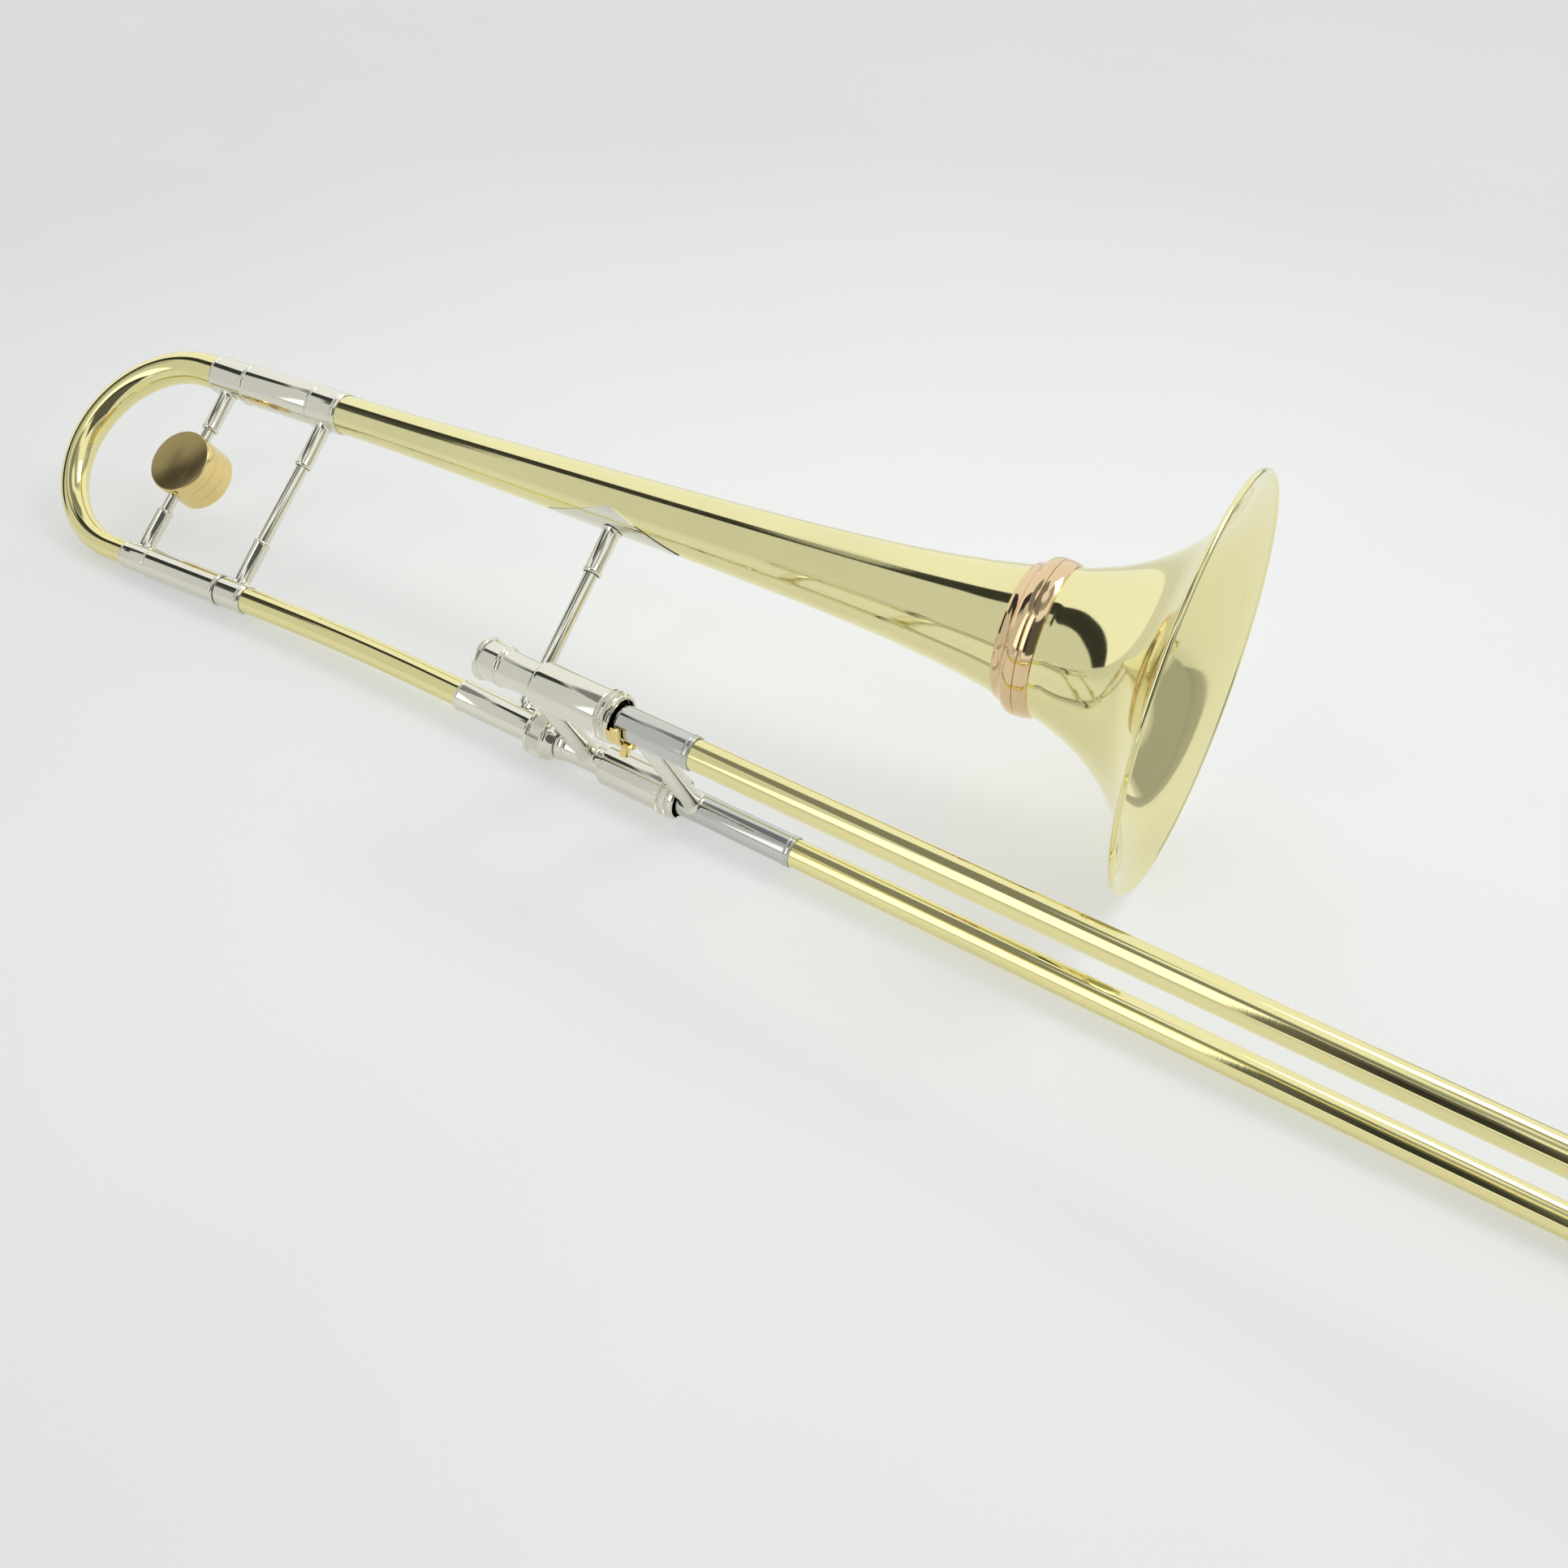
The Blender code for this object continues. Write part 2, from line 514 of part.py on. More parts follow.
# ---- counterweight: three discs stacked around the brace rod
WEIGHT_AXIS = at(BELL, TUNING_BRACE, LEG_SPACING / 2)
weight_top = WEIGHT_FACE
disc_spans = []
for _ in range(3):
    disc_spans.append((weight_top - WEIGHT_DISC, weight_top))
    weight_top -= WEIGHT_DISC + GAP
EDGE = 0.5 * MM
for label, (low, high) in zip(("front", "middle", "back"), disc_spans):
    disc = turned("counterweight_" + label,
                  [(low, WEIGHT_RADIUS - EDGE), (low + EDGE, WEIGHT_RADIUS),
                   (high - EDGE, WEIGHT_RADIUS), (high, WEIGHT_RADIUS - EDGE)],
                  [], WEIGHT_AXIS, "gold_plate", tuning_root, FINE_SIDES)
    if low < TUNING_ROD and high > -TUNING_ROD:
        tool = cutter_rod("counterweight_rod_cutter_" + label, -30 * MM, 30 * MM,
                          TUNING_ROD + GAP,
                          BELL @ Matrix.Translation((TUNING_BRACE, LEG_SPACING / 2, 0)) @ TO_Y,
                          SIDES)
        cut(disc, tool)

# ================================================================ bell flare
flare_outer, flare_inner = wall_profile(FLARE_CONTOUR, BELL_WALL)
turned("bell_flare", flare_outer, flare_inner, BELL_AXIS, "yellow_brass", flare_root, FINE_SIDES)
rim_points = []
for step in range(8):
    turn = math.radians(-135.0) + 2 * math.pi * step / 8
    rim_points.append((RIM_STATION + RIM_WIRE * math.sin(turn),
                       RIM_RADIUS + RIM_WIRE * math.cos(turn)))
rim_high = sorted(rim_points[1:5])
rim_low = sorted([rim_points[0]] + rim_points[5:])
turned("rim_wire", rim_high, rim_low, BELL_AXIS, "yellow_brass", flare_root, FINE_SIDES)
turned("bell_flare_ring",
       [(SCREW_RING_SPLIT, 38.9 * MM), (362.8 * MM, 38.9 * MM), (365.4 * MM, 38.5 * MM),
        (SCREW_RING_END, 38.0 * MM)],
       [(SCREW_RING_SPLIT, 35.5 * MM), (SCREW_RING_END, 37.2 * MM)],
       BELL_AXIS, "rose_brass", flare_root, FINE_SIDES)

# ================================================================ inner hand slide
turned("slide_tenon",
       [(60.0 * MM, 6.5 * MM), (COLLAR_START - 0.1 * MM, 7.35 * MM), (COLLAR_START, 9.2 * MM),
        (COLLAR_START + 1.6 * MM, 9.2 * MM), (COLLAR_START + 1.8 * MM, 8.0 * MM),
        (COLLAR_START + 5.2 * MM, 8.0 * MM), (COLLAR_START + 5.6 * MM, 8.7 * MM),
        (COLLAR_START + 7.4 * MM, 8.7 * MM), (COLLAR_START + 7.8 * MM, 8.0 * MM),
        (LOWER_BARREL_START - GAP, 8.0 * MM)],
       [(60.0 * MM, 5.6 * MM), (126.0 * MM, 5.6 * MM), (126.4 * MM, 6.4 * MM),
        (LOWER_BARREL_START - GAP, 6.4 * MM)],
       LOWER_AXIS, "nickel_silver", slide_root)
turned("mouthpiece_receiver",
       [(RECEIVER_START, 10.0 * MM), (RECEIVER_START + 0.5 * MM, 10.5 * MM),
        (RECEIVER_START + 2.0 * MM, 10.5 * MM), (RECEIVER_START + 2.6 * MM, 9.3 * MM),
        (RECEIVER_START + 10.8 * MM, 9.15 * MM), (RECEIVER_START + 11.2 * MM, 9.65 * MM),
        (RECEIVER_START + 12.0 * MM, 9.65 * MM), (RECEIVER_START + 12.3 * MM, 9.05 * MM),
        (RECEIVER_START + 12.7 * MM, 9.55 * MM), (RECEIVER_START + 13.5 * MM, 9.55 * MM),
        (RECEIVER_START + 13.9 * MM, 8.85 * MM), (UPPER_BARREL_START - GAP, 8.5 * MM)],
       [(RECEIVER_START, 6.5 * MM), (126.0 * MM, 5.7 * MM), (126.4 * MM, 6.4 * MM),
        (UPPER_BARREL_START - GAP, 6.4 * MM)],
       UPPER_AXIS, "nickel_silver", slide_root)
turned("upper_cork_barrel",
       [(UPPER_BARREL_START, 8.9 * MM), (UPPER_BARREL_START + 1.6 * MM, BARREL_RADIUS),
        (UPPER_BARREL_END, BARREL_RADIUS), (UPPER_BARREL_END + 0.1 * MM, 9.9 * MM),
        (UPPER_BARREL_LIP - 2.4 * MM, 9.9 * MM)],
       [(UPPER_BARREL_START, 6.4 * MM), (UPPER_BARREL_START + 2.4 * MM, 6.4 * MM),
        (UPPER_BARREL_START + 2.6 * MM, 9.3 * MM), (UPPER_BARREL_LIP - 2.4 * MM, 9.3 * MM)],
       UPPER_AXIS, "nickel_silver", slide_root)
turned("lower_cork_barrel",
       [(LOWER_BARREL_START, 8.4 * MM), (LOWER_BARREL_START + 1.6 * MM, BARREL_RADIUS),
        (LOWER_BARREL_END, BARREL_RADIUS), (LOWER_BARREL_END + 0.4 * MM, 11.4 * MM),
        (LOWER_BARREL_END + 2.1 * MM, 11.4 * MM), (LOWER_BARREL_END + 2.5 * MM, 10.9 * MM),
        (LOWER_BARREL_END + 4.4 * MM, 10.9 * MM), (LOWER_BARREL_END + 4.8 * MM, 11.4 * MM),
        (LOWER_BARREL_END + 6.5 * MM, 11.4 * MM), (LOWER_BARREL_END + 6.9 * MM, 10.9 * MM),
        (LOWER_BARREL_LIP - 1.0 * MM, 10.9 * MM), (LOWER_BARREL_LIP, 10.3 * MM)],
       [(LOWER_BARREL_START, 6.4 * MM), (LOWER_BARREL_START + 2.4 * MM, 6.4 * MM),
        (LOWER_BARREL_START + 2.6 * MM, 9.4 * MM), (LOWER_BARREL_LIP, 9.4 * MM)],
       LOWER_AXIS, "nickel_silver", slide_root)

TUBE_START = 127.0 * MM
for side, axis, barrel_start in (("upper", UPPER_AXIS, UPPER_BARREL_START),
                                 ("lower", LOWER_AXIS, LOWER_BARREL_START)):
    turned(side + "_inner_tube",
           [(TUBE_START, INNER_TUBE_RADIUS), (STOCKING_START, INNER_TUBE_RADIUS),
            (STOCKING_START + 2.0 * MM, STOCKING_RADIUS), (INNER_TUBE_END, STOCKING_RADIUS)],
           [(TUBE_START, 5.6 * MM), (INNER_TUBE_END, 5.6 * MM)],
           axis, "chrome", slide_root)
    tube(side + "_barrel_cork", barrel_start + 3.2 * MM, SLEEVE_START - 1.2 * MM, 9.0 * MM,
         9.0 * MM - INNER_TUBE_RADIUS - GAP, axis, "cork", slide_root)


# ---- hand braces, running from the lower to the mouthpiece-side tube
def hand_brace(prefix, x, lower_radius, upper_radius, parent):
    """Grip tube between the two slide tubes with a saddle under each end."""
    frame = SLIDE @ Matrix.Translation((x, 0, 0))
    saddle_top = 0.9 * MM
    rod(prefix + "_hand_brace", lower_radius + saddle_top + GAP,
        SLIDE_SPACING - upper_radius - saddle_top - GAP,
        HAND_BRACE_RADIUS, frame, "nickel_silver", parent)
    for label, base, sign, tube_radius in (("lower", 0.0, 1.0, lower_radius),
                                           ("upper", SLIDE_SPACING, -1.0, upper_radius)):
        ends = sorted(((base + sign * (tube_radius - 3.4 * MM), HAND_BRACE_RADIUS),
                       (base + sign * (tube_radius + saddle_top), HAND_BRACE_RADIUS)))
        saddle_piece = turned(prefix + "_brace_saddle_" + label, ends, [], frame,
                              "nickel_silver", parent)
        hug = cutter_rod(prefix + "_brace_hug_" + label, -12 * MM, 12 * MM, tube_radius + GAP,
                         at(SLIDE, x, 0, base) @ TO_X)
        cut(saddle_piece, hug)


hand_brace("inner", INNER_BRACE, 8.0 * MM, 8.5 * MM, slide_root)

# ---- bell lock nut, captive on the tenon
turned("bell_lock_nut",
       [(NUT_START, 11.5 * MM), (NUT_START + 0.8 * MM, 12.5 * MM),
        (NUT_START + 3.1 * MM, 12.5 * MM), (NUT_START + 3.9 * MM, 11.4 * MM),
        (NUT_START + 11.1 * MM, 11.4 * MM), (NUT_START + 11.8 * MM, 11.9 * MM),
        (NUT_START + 13.0 * MM, 11.9 * MM), (NUT_START + 14.0 * MM, 10.5 * MM),
        (NUT_END, 9.2 * MM)],
       [(NUT_START, 9.7 * MM), (NUT_END - 1.6 * MM, 9.7 * MM), (NUT_END - 1.5 * MM, 8.35 * MM),
        (NUT_END, 8.35 * MM)],
       LOWER_AXIS, "nickel_silver", nut_root)

# ---- slide lock ring with its hook
turned("slide_lock_ring",
       [(UPPER_BARREL_END + GAP, 11.3 * MM), (UPPER_BARREL_END + 0.6 * MM, 12.1 * MM),
        (UPPER_BARREL_END + 2.0 * MM, 12.1 * MM), (UPPER_BARREL_END + 2.3 * MM, 11.5 * MM),
        (UPPER_BARREL_END + 2.9 * MM, 11.5 * MM), (UPPER_BARREL_END + 3.2 * MM, 12.1 * MM),
        (UPPER_BARREL_END + 4.6 * MM, 12.1 * MM), (UPPER_BARREL_END + 5.0 * MM, 11.3 * MM),
        (UPPER_BARREL_LIP - 0.8 * MM, 11.6 * MM),
        (UPPER_BARREL_LIP, 11.2 * MM)],
       [(UPPER_BARREL_END + GAP, 10.25 * MM), (UPPER_BARREL_LIP - 2.2 * MM, 10.25 * MM),
        (UPPER_BARREL_LIP - 2.0 * MM, 9.4 * MM), (UPPER_BARREL_LIP, 9.8 * MM)],
       UPPER_AXIS, "nickel_silver", lock_root)


def ring_sector(span, inner, outer):
    """Outline of a ring sector about the mouthpiece-side tube, between two turns."""
    steps = 6
    turns = [span[0] + (span[1] - span[0]) * step / steps for step in range(steps + 1)]
    near = [(inner * math.cos(turn), -inner * math.sin(turn)) for turn in turns]
    far = [(outer * math.cos(turn), -outer * math.sin(turn)) for turn in reversed(turns)]
    return near + far


def sector_plate(name, span, inner, outer, start, end, look, parent):
    """Bent block following the mouthpiece-side tube between two stations."""
    return outline_plate(name, ring_sector(span, inner, outer), end - start,
                         at(UPPER_AXIS, 0, 0, (start + end) / 2), look, parent)


sector_plate("slide_lock_hook", HOOK_SPAN, HOOK_RADII[0], HOOK_RADII[1],
             UPPER_BARREL_LIP + GAP, HOOK_END, "gold_plate", lock_root)

# ================================================================ outer hand slide
for side, axis, sleeve_end in (("upper", UPPER_AXIS, UPPER_SLEEVE_END),
                               ("lower", LOWER_AXIS, LOWER_SLEEVE_END)):
    turned(side + "_outer_sleeve",
           [(SLEEVE_START, SLEEVE_RADIUS), (sleeve_end - 3.0 * MM, SLEEVE_RADIUS),
            (sleeve_end - 2.7 * MM, 8.05 * MM), (sleeve_end - 2.0 * MM, 8.05 * MM),
            (sleeve_end - 1.7 * MM, 7.8 * MM), (sleeve_end - 1.0 * MM, 7.8 * MM),
            (sleeve_end - 0.7 * MM, 8.05 * MM), (sleeve_end, 8.05 * MM)],
           [(SLEEVE_START, 7.4 * MM), (sleeve_end, 7.4 * MM)],
           axis, "nickel_silver", outer_root)
    tube(side + "_outer_tube", SLEEVE_START + 0.5 * MM, BOW_JOINT - GAP, OUTER_TUBE_RADIUS,
         OUTER_TUBE_WALL, axis, "yellow_brass", outer_root)
    turned(side + "_bow_ferrule",
           [(BOW_JOINT - 12.0 * MM, 8.0 * MM), (BOW_JOINT - 10.0 * MM, 8.0 * MM),
            (BOW_JOINT - 9.6 * MM, 7.8 * MM), (BOW_JOINT + 6.0 * MM, 7.8 * MM)],
           [(BOW_JOINT - 12.0 * MM, 7.45 * MM), (BOW_JOINT + 6.0 * MM, 7.45 * MM)],
           axis, "nickel_silver", outer_root)
hand_brace("outer", OUTER_BRACE, SLEEVE_RADIUS, SLEEVE_RADIUS, outer_root)

# ---- catch for the lock hook: a block on the sleeve with a square post
catch = sector_plate("slide_lock_catch", CATCH_SPAN, SLEEVE_RADIUS + GAP, CATCH_RADIUS,
                     CATCH_START, CATCH_END, "gold_plate", outer_root)
POST_FRAME = (at(SLIDE, POST_STATION, 0, SLIDE_SPACING) @ Matrix.Rotation(POST_TURN, 4, "X"))
post_half = POST_SIDE / 2
post_outline = [(-post_half, -post_half), (post_half, -post_half), (post_half, post_half),
                (-post_half, post_half)]
post = outline_plate("slide_lock_post", post_outline, POST_TOP - POST_FOOT,
                     at(POST_FRAME, 0, 0, (POST_FOOT + POST_TOP) / 2), None, None)
cut(catch, to_cutters(post), "UNION")

# ---- slide bow with bumper
bow_points = [(BOW_JOINT, 0.0, 0.0)]
BOW_STEPS = 14
for step in range(BOW_STEPS + 1):
    turn = math.pi * step / BOW_STEPS
    bow_points.append((BOW_CENTRE + math.sin(turn) * BOW_RADIUS, 0.0,
                       (1 - math.cos(turn)) * BOW_RADIUS))
bow_points.append((BOW_JOINT, 0.0, SLIDE_SPACING))
bent_tube("slide_bow", bow_points, [OUTER_TUBE_RADIUS] * len(bow_points), 0.5 * MM,
          SLIDE, "yellow_brass", outer_root)
BOW_TIP = BOW_CENTRE + BOW_RADIUS + OUTER_TUBE_RADIUS
BUMPER_AXIS = at(SLIDE, 0, 0, SLIDE_SPACING / 2) @ TO_X
holder = turned("bumper_holder",
                [(BOW_TIP - 3.0 * MM, 6.2 * MM), (BOW_TIP + 1.0 * MM, 6.2 * MM),
                 (BOW_TIP + 2.0 * MM, 5.2 * MM), (BOW_TIP + 7.0 * MM, 5.2 * MM)],
                [(BOW_TIP - 3.0 * MM, 3.8 * MM), (BOW_TIP + 7.0 * MM, 3.8 * MM)],
                BUMPER_AXIS, "nickel_silver", outer_root)
bow_hug = bent_tube("bumper_hug", bow_points,
                    [OUTER_TUBE_RADIUS + 0.4 * MM] * len(bow_points), 6.0 * MM,
                    SLIDE, None, None)
to_cutters(bow_hug)
cut(holder, bow_hug)
rod("rubber_bumper", BOW_TIP + 2.4 * MM, BOW_TIP + 10.0 * MM, 3.5 * MM, BUMPER_AXIS,
    "rubber", outer_root)

# ================================================================ water key
KEY_FRAME = (at(SLIDE, WATER_KEY_STATION) @ Matrix.Rotation(math.pi + WATER_KEY_TURN, 4, "X"))
nipple = turned("water_key_nipple",
                [(5.5 * MM, 3.4 * MM), (8.6 * MM, 3.4 * MM), (9.0 * MM, 2.6 * MM),
                 (10.6 * MM, 2.6 * MM)],
                [(5.5 * MM, 1.6 * MM), (10.6 * MM, 1.6 * MM)],
                KEY_FRAME, "nickel_silver", outer_root, 16)
cut(nipple, cutter_rod("nipple_hug", -14 * MM, 14 * MM, 7.8 * MM + GAP, KEY_FRAME @ TO_X))
KEY_PIVOT_X = -11.0 * MM
KEY_PIVOT_Z = 12.2 * MM
saddle_outline = [(-3.2 * MM, 8.6 * MM), (3.2 * MM, 8.6 * MM), (2.2 * MM, 14.0 * MM),
                  (-2.2 * MM, 14.0 * MM)]
key_pivot = at(KEY_FRAME, KEY_PIVOT_X, 0, KEY_PIVOT_Z)
saddle = rod("water_key_saddle", -4.4 * MM, 4.4 * MM, 0.65 * MM, key_pivot @ TO_Y,
             "nickel_silver", outer_root, 12)
for side, label in ((-1, "a"), (1, "b")):
    cheek = outline_plate("water_key_post_" + label, saddle_outline, 1.2 * MM,
                          at(KEY_FRAME, KEY_PIVOT_X, side * 3.4 * MM)
                          @ Matrix.Rotation(math.pi / 2, 4, "X"), None, None)
    cut(saddle, to_cutters(cheek), "UNION")
key_root = empty_at("water_key_axis", key_pivot, outer_root)
lever_outline = [(-18.0 * MM, 2.7 * MM), (-16.0 * MM, 2.3 * MM), (-2.2 * MM, -0.4 * MM),
                 (-1.4 * MM, -1.7 * MM), (1.4 * MM, -1.7 * MM), (2.0 * MM, 0.2 * MM),
                 (7.6 * MM, 0.5 * MM), (14.6 * MM, 0.5 * MM), (14.6 * MM, 2.0 * MM),
                 (2.4 * MM, 2.3 * MM), (-2.4 * MM, 2.1 * MM), (-16.0 * MM, 4.4 * MM),
                 (-18.0 * MM, 4.4 * MM)]
lever = outline_plate("water_key_lever", lever_outline, 4.8 * MM,
                      key_pivot @ Matrix.Rotation(math.pi / 2, 4, "X"),
                      "nickel_silver", key_root)
cut(lever, cutter_rod("lever_bore", -6 * MM, 6 * MM, 0.95 * MM, key_pivot @ TO_Y, 12))
rod("water_key_cork", -1.3 * MM, 0.2 * MM, 3.0 * MM, at(key_pivot, -KEY_PIVOT_X), "cork",
    key_root, 16)
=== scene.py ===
"""Looks of the straight tenor trombone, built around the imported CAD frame."""
import math

import bmesh
import bpy
from mathutils import Matrix, Vector


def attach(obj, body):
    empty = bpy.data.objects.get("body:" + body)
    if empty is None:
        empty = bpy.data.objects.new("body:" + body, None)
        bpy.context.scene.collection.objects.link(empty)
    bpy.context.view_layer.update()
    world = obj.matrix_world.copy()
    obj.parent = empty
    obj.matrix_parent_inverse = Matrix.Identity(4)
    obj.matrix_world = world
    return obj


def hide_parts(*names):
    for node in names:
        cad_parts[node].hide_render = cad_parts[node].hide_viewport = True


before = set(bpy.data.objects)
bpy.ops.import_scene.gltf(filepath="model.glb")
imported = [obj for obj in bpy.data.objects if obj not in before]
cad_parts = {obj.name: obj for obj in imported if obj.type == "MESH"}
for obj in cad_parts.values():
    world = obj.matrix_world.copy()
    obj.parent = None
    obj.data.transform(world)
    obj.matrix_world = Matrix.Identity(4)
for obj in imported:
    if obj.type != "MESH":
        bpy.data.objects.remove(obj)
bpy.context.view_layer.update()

MM = 0.001

# ---------------------------------------------------------------- the CAD frames
REST_ROLL = math.radians(37.697)
REST_PITCH = math.radians(-1.719)
REST_AT = Vector((-332.255, -50.845, 13.25)) * MM
NECK_BEND = math.radians(3.41)
SLIDE_LEAN = math.radians(6.4)
SLIDE_ORIGIN = 43.0
LEG_SPACING = 121.8
SLIDE_SPACING = 92.0

BELL = (Matrix.Translation(REST_AT) @ Matrix.Rotation(REST_PITCH, 4, "Y")
        @ Matrix.Rotation(REST_ROLL, 4, "X"))
SLIDE = (BELL @ Matrix.Rotation(-NECK_BEND, 4, "Z")
         @ Matrix.Translation((SLIDE_ORIGIN * MM, 0, 0))
         @ Matrix.Rotation(-SLIDE_LEAN, 4, "X"))
TO_X = Matrix.Rotation(math.pi / 2, 4, "Y")
TO_Y = Matrix.Rotation(-math.pi / 2, 4, "X")


def at(base, x=0.0, y=0.0, z=0.0):
    """Frame moved to a point given in millimetres."""
    return base @ Matrix.Translation((x * MM, y * MM, z * MM))


BELL_AXIS = at(BELL, 0, LEG_SPACING) @ TO_X
LEG_AXIS = BELL @ TO_X
LOWER_AXIS = SLIDE @ TO_X
UPPER_AXIS = at(SLIDE, 0, 0, SLIDE_SPACING) @ TO_X

# ---- facets round each kind of piece
ROUND = 128                       # large turned pieces
FLARE_ROUND = 192
TUBE_ROUND = 72                   # small turned pieces
PIPE_ROUND = 48                   # swept tubes
BEND_ROUND = 64                   # crook and bow

# ---- sizes used more than once, millimetres
SHEET = 0.6                       # wall of the brass sheet and tube
SLIDE_TUBE = 7.1                  # outer radius of the outer slide tubes and bow
SLEEVE = 7.75                     # outer radius of the outer slide's sleeves
STOCKING = 6.4                    # outer radius of the stockings
INNER_TUBE = 6.1                  # outer radius of the inner slide tubes
INNER_BORE = 5.6                  # bore radius of the inner slide tubes


# ================================================================ materials
class Nodes:
    """Short calls for building one node tree."""

    def __init__(self, tree):
        self.tree = tree

    def new(self, kind, **values):
        node = self.tree.nodes.new(kind)
        for key, value in values.items():
            setattr(node, key, value)
        return node

    def link(self, source, target):
        self.tree.links.new(source, target)

    def math(self, operation, a, b=None):
        node = self.new("ShaderNodeMath", operation=operation)
        for socket, value in zip(node.inputs, (a, b)):
            if value is None:
                continue
            if isinstance(value, (int, float)):
                socket.default_value = value
            else:
                self.link(value, socket)
        return node.outputs[0]

    def ramp(self, source, stops):
        node = self.new("ShaderNodeValToRGB")
        ramp = node.color_ramp
        while len(ramp.elements) < len(stops):
            ramp.elements.new(0.5)
        for element, (position, colour) in zip(ramp.elements, stops):
            element.position = position
            element.color = (*colour, 1.0)
        self.link(source, node.inputs["Fac"])
        return node.outputs["Color"]

    def span(self, source, low, high, to_low, to_high):
        node = self.new("ShaderNodeMapRange")
        for name, value in (("From Min", low), ("From Max", high),
                            ("To Min", to_low), ("To Max", to_high)):
            node.inputs[name].default_value = value
        self.link(source, node.inputs["Value"])
        return node.outputs["Result"]

    def noise(self, coords, scale, detail=3.0, stretch=(1.0, 1.0, 1.0)):
        place = self.new("ShaderNodeMapping")
        place.inputs["Scale"].default_value = stretch
        self.link(coords, place.inputs["Vector"])
        node = self.new("ShaderNodeTexNoise")
        node.inputs["Scale"].default_value = scale
        node.inputs["Detail"].default_value = detail
        self.link(place.outputs["Vector"], node.inputs["Vector"])
        return node.outputs["Fac"]


# ---- noise scales, per metre
TINT_SCALE = 9.0
SMEAR_SCALE = 38.0
LINE_SCALE = 900.0


def metal(name, colour, rough, spread, streak, bump, tint=0.04):
    """Polished metal: drifting tint, smears in the gloss and fine polishing lines."""
    mat = bpy.data.materials.new(name)
    mat.use_nodes = True
    n = Nodes(mat.node_tree)
    shader = mat.node_tree.nodes["Principled BSDF"]
    shader.inputs["Metallic"].default_value = 1.0
    coords = n.new("ShaderNodeTexCoord").outputs["Object"]
    drift = n.noise(coords, TINT_SCALE, 2.0)
    dark = tuple(c * (1.0 - tint) for c in colour)
    light = tuple(min(1.0, c * (1.0 + tint * 0.6)) for c in colour)
    n.link(n.ramp(drift, [(0.3, dark), (0.5, colour), (0.72, light)]),
           shader.inputs["Base Color"])
    smear = n.noise(coords, SMEAR_SCALE, 4.0, (0.6, 1.0, 1.0))
    lines = n.noise(coords, LINE_SCALE, 2.0, (1.0, 0.05, 0.05))
    gloss = n.math("ADD", n.span(smear, 0.35, 0.75, rough, rough + spread),
                   n.span(lines, 0.4, 0.8, 0.0, streak))
    n.link(gloss, shader.inputs["Roughness"])
    bumps = n.new("ShaderNodeBump")
    bumps.inputs["Strength"].default_value = bump
    bumps.inputs["Distance"].default_value = 0.0002
    n.link(n.math("ADD", lines, n.math("MULTIPLY", smear, 0.6)), bumps.inputs["Height"])
    n.link(bumps.outputs["Normal"], shader.inputs["Normal"])
    return mat


def matt(name, colour, pores, scale, rough, bump):
    """Cork or rubber: speckled colour with a grainy surface."""
    mat = bpy.data.materials.new(name)
    mat.use_nodes = True
    n = Nodes(mat.node_tree)
    shader = mat.node_tree.nodes["Principled BSDF"]
    coords = n.new("ShaderNodeTexCoord").outputs["Object"]
    grain = n.noise(coords, scale, 6.0)
    n.link(n.ramp(grain, [(0.35, pores), (0.62, colour)]), shader.inputs["Base Color"])
    n.link(n.span(grain, 0.3, 0.7, rough, rough - 0.15), shader.inputs["Roughness"])
    bumps = n.new("ShaderNodeBump")
    bumps.inputs["Strength"].default_value = bump
    bumps.inputs["Distance"].default_value = 0.0004
    n.link(grain, bumps.inputs["Height"])
    n.link(bumps.outputs["Normal"], shader.inputs["Normal"])
    return mat


BRASS = metal("lacquered_brass", (0.86, 0.79, 0.40), 0.035, 0.03, 0.015, 0.015)
BELL_BRASS = metal("bell_brass", (0.86, 0.80, 0.43), 0.045, 0.04, 0.02, 0.02)
NICKEL = metal("nickel_silver", (0.79, 0.77, 0.67), 0.05, 0.05, 0.02, 0.02)
CHROME = metal("slide_chrome", (0.60, 0.60, 0.57), 0.05, 0.03, 0.02, 0.015)
ROSE = metal("rose_brass", (0.81, 0.61, 0.37), 0.045, 0.03, 0.02, 0.02)
GOLD = metal("gold_plate", (0.84, 0.66, 0.29), 0.07, 0.05, 0.03, 0.03, tint=0.06)
GOLD_FACE = metal("gold_face", (0.47, 0.37, 0.165), 0.2, 0.07, 0.05, 0.05, tint=0.1)
CORK = matt("cork", (0.47, 0.32, 0.19), (0.24, 0.14, 0.07), 900.0, 0.95, 0.6)
RUBBER = matt("rubber", (0.035, 0.035, 0.035), (0.015, 0.015, 0.015), 1400.0, 0.8, 0.3)


# ================================================================ mesh makers
def finish_piece(name, bm, matrix, mat, body, nodes, sharp=40.0):
    """Turns a bmesh into a piece of the trombone riding on its body."""
    bmesh.ops.recalc_face_normals(bm, faces=bm.faces)
    limit = math.radians(sharp)
    for face in bm.faces:
        face.smooth = True
    for edge in bm.edges:
        if len(edge.link_faces) == 2 and edge.calc_face_angle(0.0) > limit:
            edge.smooth = False
    mesh = bpy.data.meshes.new(name)
    bm.to_mesh(mesh)
    bm.free()
    mesh.transform(matrix)
    mesh.materials.append(mat)
    obj = bpy.data.objects.new(name, mesh)
    bpy.context.scene.collection.objects.link(obj)
    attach(obj, body)
    if nodes:
        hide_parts(*nodes)
    return obj


STRAIGHT = math.radians(165)      # a corner blunter than this is left as it is


